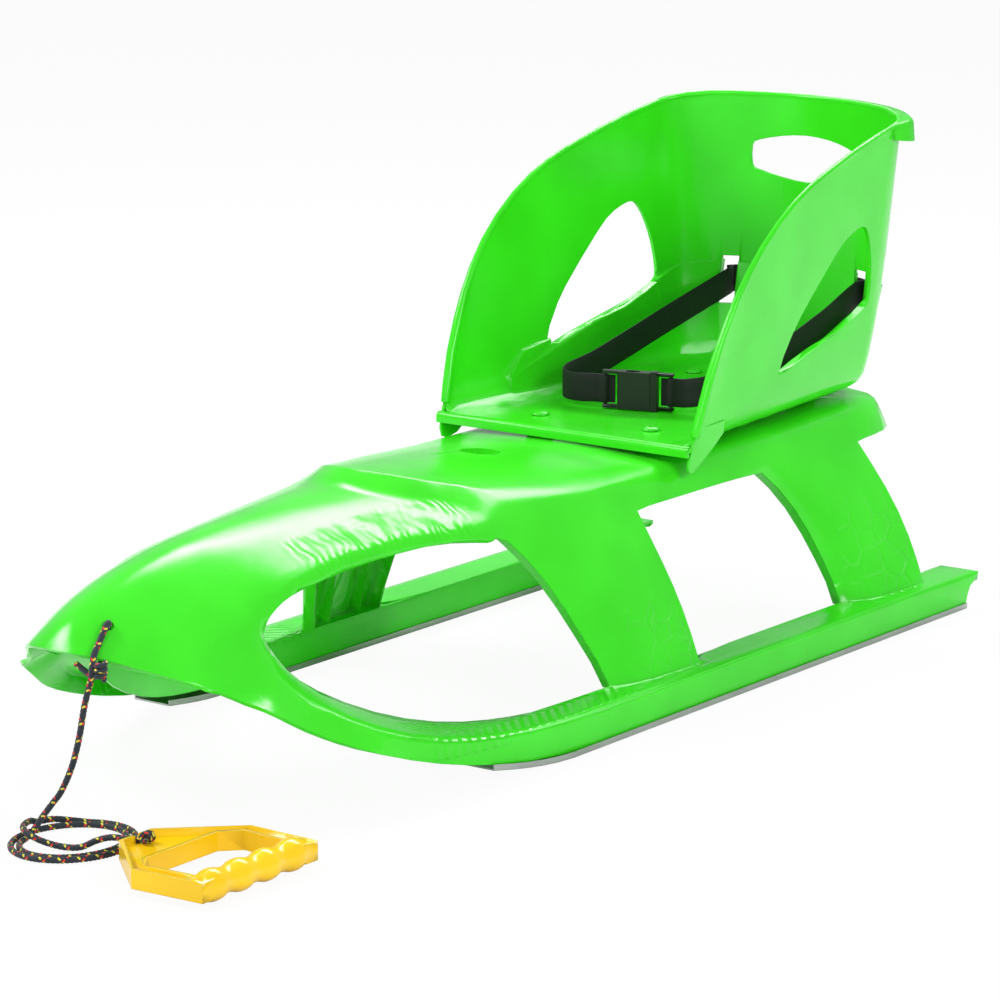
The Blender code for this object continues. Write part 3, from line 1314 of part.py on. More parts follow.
def seat_rim(skin):
    """The seat's free edge as one ordered line, from the right foot round to the left foot."""
    bm = bmesh.new()
    bm.from_mesh(skin)
    groups = bm.verts.layers.deform.active
    edges = [e for e in bm.edges if e.is_boundary
             and all(v[groups].get(0, 0.0) > 0.999 for v in e.verts)]
    links = {}
    for edge in edges:
        a, b = edge.verts
        links.setdefault(a, []).append(b)
        links.setdefault(b, []).append(a)
    ends = [v for v in links if len(links[v]) == 1]
    here = min(ends, key=lambda v: v.co.x)
    line = [here.co.copy()]
    before = None
    while True:
        ahead = [v for v in links[here] if v is not before]
        if not ahead:
            break
        before, here = here, ahead[0]
        line.append(here.co.copy())
    bm.free()
    return line


def thinned(line, pitch):
    """The same line with points no closer than a pitch."""
    kept = [line[0]]
    for point in line[1:-1]:
        if (point - kept[-1]).length >= pitch:
            kept.append(point)
    kept.append(line[-1])
    return kept


def seat_bead(line):
    """The round bead along the seat's free edge."""
    path = []
    radii = []
    for point in thinned(line, 0.0120):
        inward = Vector((-math.copysign(1.0, point.x) * min(1.0, abs(point.x) / 0.10), -0.2, 0.0))
        if point.y > 0.4700:
            inward = Vector((-point.x * 3.0, -1.0, 0.0))
        path.append(point + inward.normalized() * 0.6 * SEAT_WALL)
        share = min(1.0, max(0.0, (0.3700 - point.z) / 0.1200))
        radii.append(SEAT_BEAD + share * (SEAT_FRONT_BEAD - SEAT_BEAD))
    return tube(path, radii, 8)


def seat_flange(line):
    """The turned-down flange round the top of the back, running out into the side walls."""
    run = [p for p in line if p.y > SEAT_BACK_Y - 0.0700]
    ways = tangents(run)
    sections = []
    for point, way in zip(run, ways):
        out = Vector((way.y, -way.x, 0.0)).normalized()
        if out.dot(Vector((point.x, point.y - 0.30, 0.0))) < 0.0:
            out = -out
        near = min(1.0, max(0.0, (point.y - run[0].y) / 0.0260))
        reach = 0.0012 + SEAT_FLANGE_OUT * near * near * (3.0 - 2.0 * near)
        deep = SEAT_FLANGE_DROP * (0.55 + 0.45 * near)
        outline = ((-0.6 * SEAT_WALL, 0.4 * SEAT_BEAD), (reach - 0.0030, 0.4 * SEAT_BEAD),
                   (reach, -0.0020), (reach + 0.0012, -deep),
                   (reach + 0.0012 - SEAT_FLANGE_WALL, -deep),
                   (reach - SEAT_FLANGE_WALL, -0.0030), (-0.6 * SEAT_WALL, -0.0030))
        sections.append([point + out * u + Vector((0.0, 0.0, v)) for u, v in outline])
    return lofted(sections)


def seat_bolster():
    """The hip bolster round the lower inside of the seat: a step inwards, solid to the wall."""
    base = SEAT_UNDER_Z + SEAT_BILGE
    sunk = 0.5 * SEAT_WALL
    hidden = 0.9 * SEAT_BILGE - 0.6 * sunk
    shown = SEAT_BILGE - BOLSTER_DEPTH
    half = []
    for y, k in [(y, None) for y in BOLSTER_STATIONS] + [(None, k) for k in range(8)]:
        def place(z, inset):
            level = max(z, base)
            if k is None:
                return Vector((seat_wall_x(y, level) - inset, y, z))
            px, py = seat_plan(level, inset)[k]
            return Vector((px, py, z))

        def bilge(radius, degrees):
            turn = math.radians(degrees)
            return place(base - radius * math.sin(turn), SEAT_BILGE - radius * math.cos(turn))

        top = BOLSTER_TOP(y if k is None else seat_plan(SEAT_STEP_Z)[k][1])[0]
        half.append([place(top - 0.0015, BOLSTER_DEPTH), place(base, BOLSTER_DEPTH),
                     bilge(shown + 0.0015, 45.0), bilge(hidden - 0.0003, 74.0),
                     bilge(hidden + BOLSTER_ROOT, 80.0), bilge(hidden, 45.0),
                     place(base, SEAT_BILGE - hidden), place(top, sunk), place(top, BOLSTER_DEPTH - 0.0015)])
    other = [[Vector((-p.x, p.y, p.z)) for p in section] for section in reversed(half[:-1])]
    whole = lofted(half + other)
    return boolean(whole, [prism(BOLSTER_FRONT, -0.2000, 0.2000, 0)], "DIFFERENCE")


def seat_foot(side):
    """The cheek at the front of a side wall, reaching down past the deck's edge."""
    outer = []
    inner = []
    for y, z in SEAT_FOOT:
        x = seat_wall_x(y, z)
        outer.append(Vector((side * (x - 0.0006), y, z)))
        inner.append(Vector((side * (x - SEAT_WALL + 0.0004), y, z)))
    return lofted([inner, outer])


def seat_lip():
    """The rolled front edge of the seat's floor, turned down to the deck."""
    y = SEAT_FRONT_Y
    top = SEAT_FLOOR_Z + SEAT_LIP_TOP
    low = SEAT_FLOOR_Z - SEAT_LIP_DROP
    outline = [(y + 0.0110, SEAT_FLOOR_Z - 0.0010), (y + 0.0080, SEAT_FLOOR_Z + 0.0010),
               (y + 0.0050, top), (y + 0.0022, top - 0.0004), (y + 0.0004, top - 0.0020),
               (y, top - 0.0045), (y, low), (y + SEAT_WALL, low),
               (y + SEAT_WALL, SEAT_UNDER_Z + 0.0006), (y + 0.0110, SEAT_UNDER_Z + 0.0006)]
    reach = seat_wall_x(y, SEAT_FLOOR_Z) - 0.5 * SEAT_WALL
    return prism(outline, -reach, reach, 0)


def seat_tub():
    """The whole seat: tub, bead, flange, bolster, cheeks and lip, with its openings."""
    skin = seat_skin(1)
    rim = seat_rim(skin)
    shell = scratch(skin)
    flat = shell.modifiers.new("flat", "DECIMATE")
    flat.decimate_type = "DISSOLVE"
    flat.angle_limit = FLAT_ANGLE
    shell.modifiers.new("facets", "TRIANGULATE")
    thick = shell.modifiers.new("wall", "SOLIDIFY")
    thick.thickness = SEAT_WALL
    thick.offset = -1.0
    thick.use_even_offset = False
    tub = evaluated(shell)
    drop(shell)
    adds = [seat_bead(rim), seat_flange(rim), seat_bolster(), seat_lip(),
            seat_foot(1.0), seat_foot(-1.0)]
    whole = boolean(tub, adds, "UNION")
    cuts = [prism(smooth_loop(WINDOW, 2), -0.2000, 0.2000, 0),
            prism(smooth_loop(GRIP_HOLE, 2), 0.4000, 0.6000, 1)]
    for side in (-1.0, 1.0):
        near = side * SLOT_X - 0.5 * SLOT_WIDTH
        cuts.append(box((near, 0.4400, SLOT_LOW_Z), (near + SLOT_WIDTH, 0.5600, SLOT_HIGH_Z)))
    for x, y in bolt_places():
        cuts.append(cylinder((x, y), BOLT_RADIUS + BOLT_CLEARANCE, 0.1800, 0.2100, 12))
    return lightened(boolean(whole, [joined(cuts)], "DIFFERENCE"), 0.80)


seat = link("seat_shell", seat_tub(), GREEN)


def strip_section(y):
    """The strip's U section at a station, outer side first."""
    low = KEEL(y)[0]
    out = strip_edge(y)
    inner = out - STRIP_WIDTH
    lip = low + STRIP_LIP
    sole = low + STRIP_SOLE
    outline = ((out, low + 0.0004), (out, lip), (out - STRIP_METAL, lip),
               (out - STRIP_METAL, sole), (inner + STRIP_METAL, sole),
               (inner + STRIP_METAL, lip), (inner, lip),
               (inner, low + 0.0004), (inner + 0.0004, low), (out - 0.0004, low))
    return [Vector((x, y, z)) for x, z in outline]


def runner_strip():
    """The pressed steel strip of the left runner, turned up at the front."""
    stations = (STRIP_FRONT_Y, -0.1980, -0.1850, -0.1700, -0.1520, -0.1340, -0.1150,
                RUNNER_END_Y - 0.0003)
    strip = lofted([strip_section(y) for y in stations])
    cuts = []
    for y in STRIP_SCREW_Y:
        low = KEEL(y)[0]
        cone = [(0.0, low - 0.0010), (STRIP_SCREW_HEAD + SEAT_GAP + 0.0014, low - 0.0010),
                (STRIP_SCREW_HEAD + SEAT_GAP, low),
                (STRIP_SCREW_RADIUS + SEAT_GAP, low + STRIP_SCREW_SINK),
                (STRIP_SCREW_RADIUS + SEAT_GAP, 0.0100), (0.0, 0.0100)]
        cuts.append(turned(cone, (strip_middle(y), y, 0.0), 12))
    return boolean(strip, cuts, "DIFFERENCE")


def strip_screw(y):
    """A countersunk screw of the left strip, flush in its sole."""
    low = KEEL(y)[0] + SEAT_GAP
    slope = (STRIP_SCREW_HEAD - STRIP_SCREW_RADIUS) / STRIP_SCREW_SINK
    shape = [(0.0, low), (STRIP_SCREW_HEAD - SEAT_GAP * slope, low),
             (STRIP_SCREW_RADIUS, low - SEAT_GAP + STRIP_SCREW_SINK),
             (STRIP_SCREW_RADIUS, low + STRIP_SCREW_LENGTH - 0.0020),
             (0.0006, low + STRIP_SCREW_LENGTH), (0.0, low + STRIP_SCREW_LENGTH)]
    return turned(shape, (strip_middle(y), y, 0.0), 8)


def seat_bolt(x, y):
    """A domed bolt through the seat's floor and the boss under it."""
    head = SEAT_FLOOR_Z + SEAT_GAP
    end = nut_low() - BOLT_END
    shape = [(0.0, end), (BOLT_RADIUS, end), (BOLT_RADIUS, head), (BOLT_HEAD_RADIUS, head),
             (BOLT_HEAD_RADIUS, head + 0.30 * BOLT_HEAD_HEIGHT),
             (0.70 * BOLT_HEAD_RADIUS, head + 0.80 * BOLT_HEAD_HEIGHT),
             (0.0, head + BOLT_HEAD_HEIGHT)]
    return turned(shape, (x, y, 0.0), 12)


def washer_low():
    return BOSS_UNDER_Z - SEAT_GAP - WASHER_THICK


def nut_low():
    return washer_low() - SEAT_GAP - NUT_HEIGHT


def washer(x, y):
    bore = BOLT_RADIUS + BOLT_CLEARANCE
    low = washer_low()
    shape = [(bore, low), (WASHER_RADIUS, low), (WASHER_RADIUS, low + WASHER_THICK),
             (bore, low + WASHER_THICK)]
    return turned(shape, (x, y, 0.0), 12)


def wing_nut(x, y):
    """A threaded collar with two wings leaning down and out."""
    low = nut_low()
    collar = turned([(0.0, low), (0.8 * NUT_RADIUS, low), (NUT_RADIUS, low + NUT_HEIGHT),
                     (0.0, low + NUT_HEIGHT)], (x, y, 0.0), 10)
    wings = []
    for way in (-1.0, 1.0):
        tip = y + way * 0.5 * WING_SPAN
        outline = [(y + way * 0.0020, low + 0.0012), (y + way * 0.0020, low + 0.0048),
                   (tip - way * 0.0040, low + 0.0036), (tip, low - 0.0010),
                   (tip - way * 0.0010, low + 0.0048 - WING_HEIGHT),
                   (tip - way * 0.0040, low + 0.0040 - WING_HEIGHT)]
        wings.append(prism(outline, x - 0.5 * WING_THICK, x + 0.5 * WING_THICK, 0))
    whole = boolean(collar, wings, "UNION")
    bore = cylinder((x, y), BOLT_RADIUS + BOLT_CLEARANCE, low - 0.0100, low + 0.0200, 8)
    return boolean(whole, [bore], "DIFFERENCE")


left_strip = runner_strip()
link("runner_strip_left", left_strip, STEEL)
link("runner_strip_right", mirrored(left_strip), STEEL)
for number, y in enumerate(STRIP_SCREW_Y, 1):
    screw = strip_screw(y)
    link(f"strip_screw_left_{number}", screw, ZINC)
    link(f"strip_screw_right_{number}", mirrored(screw), ZINC)
for x, y in bolt_places():
    corner = ("front" if y == BOLT_FRONT_Y else "rear") + ("_left" if x > 0.0 else "_right")
    link("seat_bolt_" + corner, seat_bolt(x, y), ZINC)
    link("seat_washer_" + corner, washer(x, y), ZINC)
    link("seat_wing_nut_" + corner, wing_nut(x, y), ZINC)


FLANGE_HALF = 0.5 * BUCKLE_HEIGHT + 0.0010
BUCKLE_CENTRE = Vector((BUCKLE_X, BUCKLE_Y, SEAT_FLOOR_Z + SEAT_GAP + FLANGE_HALF))
BUCKLE_PLACE = Matrix.Translation(BUCKLE_CENTRE) @ Matrix.Rotation(BUCKLE_TURN, 4, "Z")
SOCKET_END = SOCKET_OPEN - SOCKET_LENGTH
SOCKET_HEEL = SOCKET_END + BUCKLE_LOOP
PLUG_FACE = SOCKET_OPEN + SEAT_GAP
PLUG_END = PLUG_FACE + PLUG_FLANGE + BUCKLE_LOOP
SOCKET_BAR = SOCKET_END + BUCKLE_BAR + 0.0004
PLUG_BAR = PLUG_END - BUCKLE_BAR - 0.0004


def bar_loop(low, high, bar_at, wall):
    """A buckle's strap loop: two cheeks and a round bar between them."""
    half = 0.5 * BUCKLE_HEIGHT
    parts = []
    for sign in (-1.0, 1.0):
        a, b = sorted((sign * half, sign * (half - wall)))
        parts.append(box((low, -0.30 * BUCKLE_THICK, a), (high, 0.30 * BUCKLE_THICK, b)))
    bar = cylinder((bar_at, 0.0), BUCKLE_BAR, -half + 0.4 * wall, half - 0.4 * wall, 12)
    return parts + [bar]


def buckle_socket():
    """The socket: an open-mouthed box with side windows and a loop for the strap."""
    half = 0.5 * BUCKLE_HEIGHT
    deep = 0.5 * BUCKLE_THICK
    bevel = 0.0012
    outline = [(SOCKET_HEEL, -deep + bevel), (SOCKET_HEEL + 2.0 * bevel, -deep),
               (SOCKET_OPEN, -deep), (SOCKET_OPEN, deep), (SOCKET_HEEL + 2.0 * bevel, deep),
               (SOCKET_HEEL, deep - bevel)]
    body = prism(outline, -half, half, 2)
    loop = bar_loop(SOCKET_END, SOCKET_HEEL + 0.0020, SOCKET_BAR, BUCKLE_CHEEK)
    whole = boolean(body, loop, "UNION")
    cavity = box((SOCKET_HEEL + SOCKET_WALL, -deep + SOCKET_WALL, -half + SOCKET_WALL),
                 (SOCKET_OPEN + 0.0100, deep - SOCKET_WALL, half - SOCKET_WALL))
    window = box((LATCH_WINDOW[0], -deep + SOCKET_WALL, -half - 0.0100),
                 (LATCH_WINDOW[1], deep - SOCKET_WALL, half + 0.0100))
    return boolean(boolean(whole, [cavity], "DIFFERENCE"), [window], "DIFFERENCE")


def buckle_plug():
    """The plug's flange and its loop for the strap."""
    half = FLANGE_HALF
    deep = 0.5 * BUCKLE_THICK
    outline = [(PLUG_FACE, -deep), (PLUG_FACE + PLUG_FLANGE, -0.7 * deep),
               (PLUG_FACE + PLUG_FLANGE, 0.7 * deep), (PLUG_FACE, deep)]
    flange = prism(outline, -half, half, 2)
    loop = bar_loop(PLUG_FACE + PLUG_FLANGE - 0.0010, PLUG_END, PLUG_BAR, BUCKLE_CHEEK)
    whole = boolean(flange, loop, "UNION")
    root = box((PLUG_FACE - 0.0100, -0.5 * PRONG_THICK - SEAT_GAP, -0.5 * LATCH_ROOT - SEAT_GAP),
               (PLUG_FACE + LATCH_SEAT + SEAT_GAP, 0.5 * PRONG_THICK + SEAT_GAP,
                0.5 * LATCH_ROOT + SEAT_GAP))
    return boolean(whole, [root], "DIFFERENCE")


def buckle_latch():
    """The plug's two spring arms and its middle guide, on a common root."""
    root = 0.5 * LATCH_ROOT
    base = PLUG_FACE + LATCH_SEAT
    front = PLUG_FACE - 0.0004
    tip = front - PRONG_LENGTH
    catch = LATCH_WINDOW[0] + SEAT_GAP
    face = LATCH_WINDOW[1] - SEAT_GAP
    high = 0.5 * BUCKLE_HEIGHT - 0.0006
    upper = [(base, root), (front, root), (front - 0.0060, root - 0.0002),
             (face, root + 0.0008), (face, high), (0.5 * (face + catch), high - 0.0006),
             (catch, root + 0.0006), (tip + 0.0010, 0.0080), (tip, 0.0062),
             (tip + 0.0030, 0.0052), (front - 0.0080, root - 0.0032),
             (front - 0.0010, root - 0.0034), (front - 0.0010, 0.0020), (tip + 0.0060, 0.0014)]
    outline = upper + [(u, -w) for u, w in reversed(upper)]
    half = 0.5 * PRONG_THICK
    count = len(outline)
    points = [(u, -half, w) for u, w in outline] + [(u, half, w) for u, w in outline]
    faces = [tuple(range(count)), tuple(range(count, 2 * count))]
    for i in range(count):
        j = (i + 1) % count
        faces.append((i, j, count + j, count + i))
    return mesh_from(points, faces)


def placed(mesh, place):
    mesh.transform(place)
    return mesh


link("buckle_socket", placed(buckle_socket(), BUCKLE_PLACE), BLACK)
link("buckle_latch", placed(buckle_latch(), BUCKLE_PLACE), BLACK, BUCKLE_CENTRE)
link("buckle_plug", placed(buckle_plug(), BUCKLE_PLACE), BLACK, BUCKLE_CENTRE)


def stop_place(side):
    """Frame of a belt stop lying flat on the seat's rear face: x across, y outwards."""
    middle_z = 0.5 * (SLOT_LOW_Z + SLOT_HIGH_Z)
    lean = 2.0 * SEAT_BOW * SLOT_X
    out = Vector((side * lean, 1.0, 0.0)).normalized()
    across = out.cross(Vector((0.0, 0.0, 1.0))).normalized()
    far = Vector((side * SLOT_X, seat_back_y(SLOT_X, middle_z), middle_z)) + out * 0.0500
    reach = []
    for share_x in (-1.0, -0.7, -0.35, 0.0, 0.35, 0.7, 1.0):
        for share_z in (-1.0, -0.7, -0.35, 0.0, 0.35, 0.7, 1.0):
            start = far + across * (0.5 * STOP_WIDTH * share_x)
            start.z += 0.5 * STOP_HEIGHT * share_z
            hit = SEAT_TREE.ray_cast(start, -out)[0]
            if hit is not None:
                reach.append((hit - far).dot(out))
    middle = far + out * (max(reach) + 2.0 * SEAT_GAP + 0.5 * STOP_THICK)
    place = Matrix.Identity(4)
    for i, axis in enumerate((across, out, Vector((0.0, 0.0, 1.0)))):
        for k in range(3):
            place[k][i] = axis[k]
    place.translation = middle
    return place, middle, out


SEAT_TREE = BVHTree.FromPolygons([v.co + ORIGIN for v in seat.data.vertices],
                                 [tuple(p.vertices) for p in seat.data.polygons])


def belt_stop(side):
    """A flat stop behind a slot, wider than the slot, with a window for the strap."""
    place, _, _ = stop_place(side)
    plate = box((-0.5 * STOP_WIDTH, -0.5 * STOP_THICK, -0.5 * STOP_HEIGHT),
                (0.5 * STOP_WIDTH, 0.5 * STOP_THICK, 0.5 * STOP_HEIGHT))
    window = box((-0.5 * STOP_WINDOW, -STOP_THICK, -0.5 * WEB_WIDTH - 0.0008),
                 (0.5 * STOP_WINDOW, STOP_THICK, 0.5 * WEB_WIDTH + 0.0008))
    return placed(boolean(plate, [window], "DIFFERENCE"), place)


def ribbon(path, thicknesses):
    """A strap along a path with its width upright."""
    sections = []
    up = Vector((0.0, 0.0, 0.5 * WEB_WIDTH))
    for point, way, thick in zip(path, tangents(path), thicknesses):
        side = way.cross(up).normalized() * 0.5 * thick
        sections.append([point + side - up, point + side + up,
                         point - side + up, point - side - up])
    return lofted(sections)


def bar_eye(bar_at):
    """The closed eye of a strap round a buckle's bar, in the buckle's frame."""
    inner = BUCKLE_BAR + SEAT_GAP
    outer = inner + WEB_THICK
    half = 0.5 * WEB_WIDTH
    shape = [(inner, -half), (outer, -half), (outer, half), (inner, half)]
    return placed(turned(shape, (bar_at, 0.0, 0.0), 16), BUCKLE_PLACE)


def belt_strap(side, bar_at, route):
    """One strap: sewn eye on the buckle, run to the slot, hem behind the stop."""
    way = 1.0 if bar_at > 0.0 else -1.0
    start = BUCKLE_PLACE @ Vector((bar_at + way * (BUCKLE_BAR + SEAT_GAP + 0.45 * WEB_THICK),
                                   0.0, 0.0))
    lead = BUCKLE_PLACE @ Vector((bar_at + way * 0.0120, 0.0, 0.0))
    _, stop, out = stop_place(side)
    inside = stop - out * (0.5 * STOP_THICK + SEAT_WALL + 0.0035)
    run = smooth_run([start, lead] + [Vector(p) for p in route] + [inside], 0.0110)
    behind = stop + out * (0.5 * STOP_THICK + SEAT_GAP)
    path = run + [stop - out * 0.5 * STOP_THICK, behind, behind + out * 0.0004,
                  behind + out * BELT_TAIL]
    thick = []
    travelled = 0.0
    for i, point in enumerate(path):
        if i:
            travelled += (point - path[i - 1]).length
        thick.append(2.2 * WEB_THICK if travelled < BELT_LAP else WEB_THICK)
    thick[-1] = BELT_HEM
    thick[-2] = BELT_HEM
    strap = ribbon(path, thick)
    bore = cylinder((bar_at, 0.0), BUCKLE_BAR + SEAT_GAP, -0.0300, 0.0300, 16)
    whole = boolean(strap, [bar_eye(bar_at)], "UNION")
    return boolean(whole, [placed(bore, BUCKLE_PLACE)], "DIFFERENCE")


link("belt_strap_left", belt_strap(1.0, PLUG_BAR, NEAR_ROUTE), WEBBING)
link("belt_strap_right", belt_strap(-1.0, SOCKET_BAR, FAR_ROUTE), WEBBING)
link("belt_stop_left", belt_stop(1.0), BLACK)
link("belt_stop_right", belt_stop(-1.0), BLACK)


def handle_outline(inset):
    """Outline of the handle in plan, apex first, drawn in by an inset."""
    tip = inset
    half = HANDLE_APEX_HALF - 0.75 * inset
    shoulder = HANDLE_SHOULDER_HALF - 1.10 * inset
    end = HANDLE_LENGTH - inset
    grip = HANDLE_GRIP_HALF - 1.05 * inset
    right = [(tip, -half), (HANDLE_SHOULDER_AT, -shoulder), (end, -grip)]
    return right + [(x, -y) for x, y in reversed(right)]


def handle_opening(outset):
    """Outline of the hand opening, drawn out by an outset."""
    front = HANDLE_OPEN_AT - outset
    rear = HANDLE_LENGTH - HANDLE_GRIP_BAR + outset
    shoulder = HANDLE_SHOULDER_HALF - HANDLE_BAR + outset
    right = [(front, -0.0400 - 0.9 * outset), (front + 0.0140, -shoulder),
             (rear, -HANDLE_GRIP_HALF + HANDLE_BAR - 1.05 * outset)]
    return right + [(x, -y) for x, y in reversed(right)]


def tow_handle():
    """The tow handle: a rimmed frame round a hand opening, with a lobed grip bar."""
    low = -0.5 * HANDLE_HEIGHT
    high = 0.5 * HANDLE_HEIGHT
    frame = prism(handle_outline(0.0), low, high, 2)
    palm = HANDLE_GRIP_HALF - HANDLE_BAR
    gap = box((HANDLE_OPEN_AT + 0.0200, -palm, -1.0), (1.0, palm, 1.0))
    frame = boolean(frame, [prism(handle_opening(0.0), -1.0, 1.0, 2), gap], "DIFFERENCE")
    ring = prism(handle_outline(HANDLE_RIM), low - 0.0010, high + 0.0010, 2)
    ring = boolean(ring, [prism(handle_opening(HANDLE_RIM), -1.0, 1.0, 2)], "DIFFERENCE")
    grip_side = box((HANDLE_LENGTH - HANDLE_GRIP_BAR, -1.0, -1.0), (1.0, 1.0, 1.0))
    pocket = boolean(ring, [box((-1.0, -1.0, -0.5 * HANDLE_WEB), (1.0, 1.0, 0.5 * HANDLE_WEB)),
                            grip_side], "DIFFERENCE")
    frame = boolean(frame, [pocket], "DIFFERENCE")
    middle = HANDLE_LENGTH - 0.5 * HANDLE_GRIP_BAR
    reach = HANDLE_GRIP_HALF - 0.0060
    profile = [(0.0, -reach)]
    steps = 6 * HANDLE_LOBES
    for i in range(steps + 1):
        share = i / steps
        wave = 0.5 - 0.5 * math.cos(2.0 * math.pi * HANDLE_LOBES * share)
        radius = HANDLE_NECK_RADIUS + (HANDLE_LOBE_RADIUS - HANDLE_NECK_RADIUS) * wave
        profile.append((radius, -reach + 2.0 * reach * share))
    profile.append((0.0, reach))
    grip = turned(profile, (0.0, 0.0, 0.0), 14)
    grip.transform(Matrix.Translation(Vector((middle, 0.0, 0.0))) @ Matrix.Rotation(math.pi / 2, 4, "X"))
    whole = boolean(frame, [grip], "UNION")
    notch = box((-0.0100, -0.5 * HANDLE_NOTCH, -0.5 * HANDLE_WEB),
                (0.0060, 0.5 * HANDLE_NOTCH, 0.0200))
    whole = boolean(whole, [notch], "DIFFERENCE")
    return placed(whole, Matrix.Translation(Vector((HANDLE_X, HANDLE_Y, HANDLE_Z))))


link("tow_handle", tow_handle(), YELLOW)


def rope_curve(name, path, roundness):
    """A rope laid along points: a curve with a round section and closed ends."""
    curve = bpy.data.curves.new(name, "CURVE")
    curve.dimensions = "3D"
    curve.bevel_depth = ROPE_RADIUS
    curve.bevel_resolution = roundness
    curve.use_fill_caps = True
    spline = curve.splines.new("POLY")
    spline.points.add(len(path) - 1)
    for point, place in zip(spline.points, path):
        point.co = (*(place - ORIGIN), 1.0)
    piece = bpy.data.objects.new(name, curve)
    bpy.context.scene.collection.objects.link(piece)
    curve.materials.append(material(name + "_finish", *ROPE))
    return piece


def barrel(centre, axis, radius, length, waists, sides):
    """Turns of rope pulled tight: a rounded barrel with waists between its turns."""
    half = 0.5 * length
    profile = [(0.0, -half)]
    steps = 4 * waists
    for i in range(steps + 1):
        share = i / steps
        swell = 0.80 + 0.20 * math.sin(math.pi * share)
        groove = 0.0007 * (0.5 + 0.5 * math.cos(2.0 * math.pi * waists * share))
        profile.append((radius * swell - groove, -half + length * share))
    profile.append((0.0, half))
    turn = Vector((0.0, 0.0, 1.0)).rotation_difference(Vector(axis)).to_matrix().to_4x4()
    return placed(turned(profile, (0.0, 0.0, 0.0), sides), Matrix.Translation(Vector(centre)) @ turn)


def nose_knot():
    """The rope's loop through the nose, closed under the lip by a tight knot with a tail."""
    loop = smooth_run((ROPE_STUB,) + ROPE_OUTSIDE + ROPE_INSIDE, 0.0052)
    rope = tube(loop, [ROPE_RADIUS] * len(loop), 8)
    tail = smooth_run(ROPE_TAIL, 0.0060)
    end = tube(tail, [0.98 * ROPE_RADIUS] * len(tail), 8)
    wraps = barrel(KNOT_CENTRE, (0.10, 0.0, 1.0), KNOT_RADIUS, KNOT_LENGTH, 3, 10)
    return boolean(boolean(rope, [wraps], "UNION"), [end], "UNION")


def handle_knot():
    """The rope's end through the handle's notch, knotted in the pocket behind it."""
    seat = HANDLE_Z + 0.5 * HANDLE_WEB + SEAT_GAP
    entry = HANDLE_Z - 0.5 * HANDLE_WEB + SEAT_GAP + ROPE_RADIUS + 0.0008
    route = ((HANDLE_X - 0.0060, HANDLE_Y, entry), (HANDLE_X - 0.0005, HANDLE_Y, entry),
             (HANDLE_X + 0.0060, HANDLE_Y, seat + ROPE_RADIUS + 0.0004),
             (HANDLE_X + 0.0110, HANDLE_Y, seat + ROPE_RADIUS + 0.0020))
    path = smooth_run(route, 0.0045)
    rope = tube(path, [ROPE_RADIUS] * len(path), 8)
    centre = (HANDLE_X + 0.0115, HANDLE_Y, seat + 0.0050)
    wraps = barrel(centre, (0.0, 1.0, 0.0), 0.0049, 0.0120, 2, 10)
    return boolean(rope, [wraps], "UNION"), Vector(route[0])


def coil_path():
    """The coil's middle line: turns growing on the floor, then back over them to the handle."""
    points = []
    count = int(round(COIL_TURNS * COIL_STEPS))
    for i in range(count + 1):
        turn = i / COIL_STEPS
        angle = COIL_START + 2.0 * math.pi * turn
        x = COIL_X + (COIL_HALF_X + COIL_STEP * turn) * math.cos(angle)
        y = COIL_Y + (COIL_HALF_Y + COIL_STEP * turn) * math.sin(angle)
        rise = max(0.0, (turn - COIL_TURNS + COIL_CLIMB) / COIL_CLIMB)
        z = SEAT_GAP + ROPE_RADIUS + COIL_RISE * rise * rise * (3.0 - 2.0 * rise)
        points.append(Vector((x, y, z)))
    _, entry = handle_knot()
    last = Vector((entry.x - SEAT_GAP, entry.y, entry.z))
    lead = Vector((entry.x - SEAT_GAP - ROPE_DIAMETER, entry.y, entry.z))
    leaving = smooth_run([points[-1]] + [Vector(p) for p in COIL_EXIT] + [lead], 0.0085)
    return points + leaving[1:] + [last]


def least_self_gap(path):
    """The least clear distance between turns of a rope laid along a path."""
    fine = smooth_run(path, 0.0020)
    spots = np.array(fine)
    skip = 9
    least = 1.0
    for i in range(len(spots) - skip):
        away = np.linalg.norm(spots[i + skip:] - spots[i], axis=1)
        least = min(least, float(away.min()))
    return least - ROPE_DIAMETER


knot_mesh, _ = handle_knot()
link("tow_rope_knot", nose_knot(), ROPE)
link("tow_handle_knot", knot_mesh, ROPE)
coil = coil_path()
rope_curve("tow_rope_coil", coil, 1)
print("least gap between the coil's turns, mm:", round(1000.0 * least_self_gap(coil), 2))
fall_start = Vector(ROPE_STUB) + (Vector(ROPE_FALL[0]) - Vector(ROPE_STUB)).normalized() * SEAT_GAP
meet = coil[0] + (coil[0] - coil[1]).normalized() * SEAT_GAP
meet_lead = meet + (coil[0] - coil[1]).normalized() * ROPE_DIAMETER
fall = smooth_run([fall_start] + [Vector(p) for p in ROPE_FALL] + [meet_lead], 0.0110)
rope_curve("tow_rope", fall + [meet], 2)
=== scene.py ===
"""Looks of a moulded plastic snow sled with a child seat, a lap belt and a tow rope.

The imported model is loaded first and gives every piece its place. Each operator makes one piece
or one group of like pieces, in metres, in the model's own frame.
"""
import math

import bpy
from mathutils import Matrix, Vector


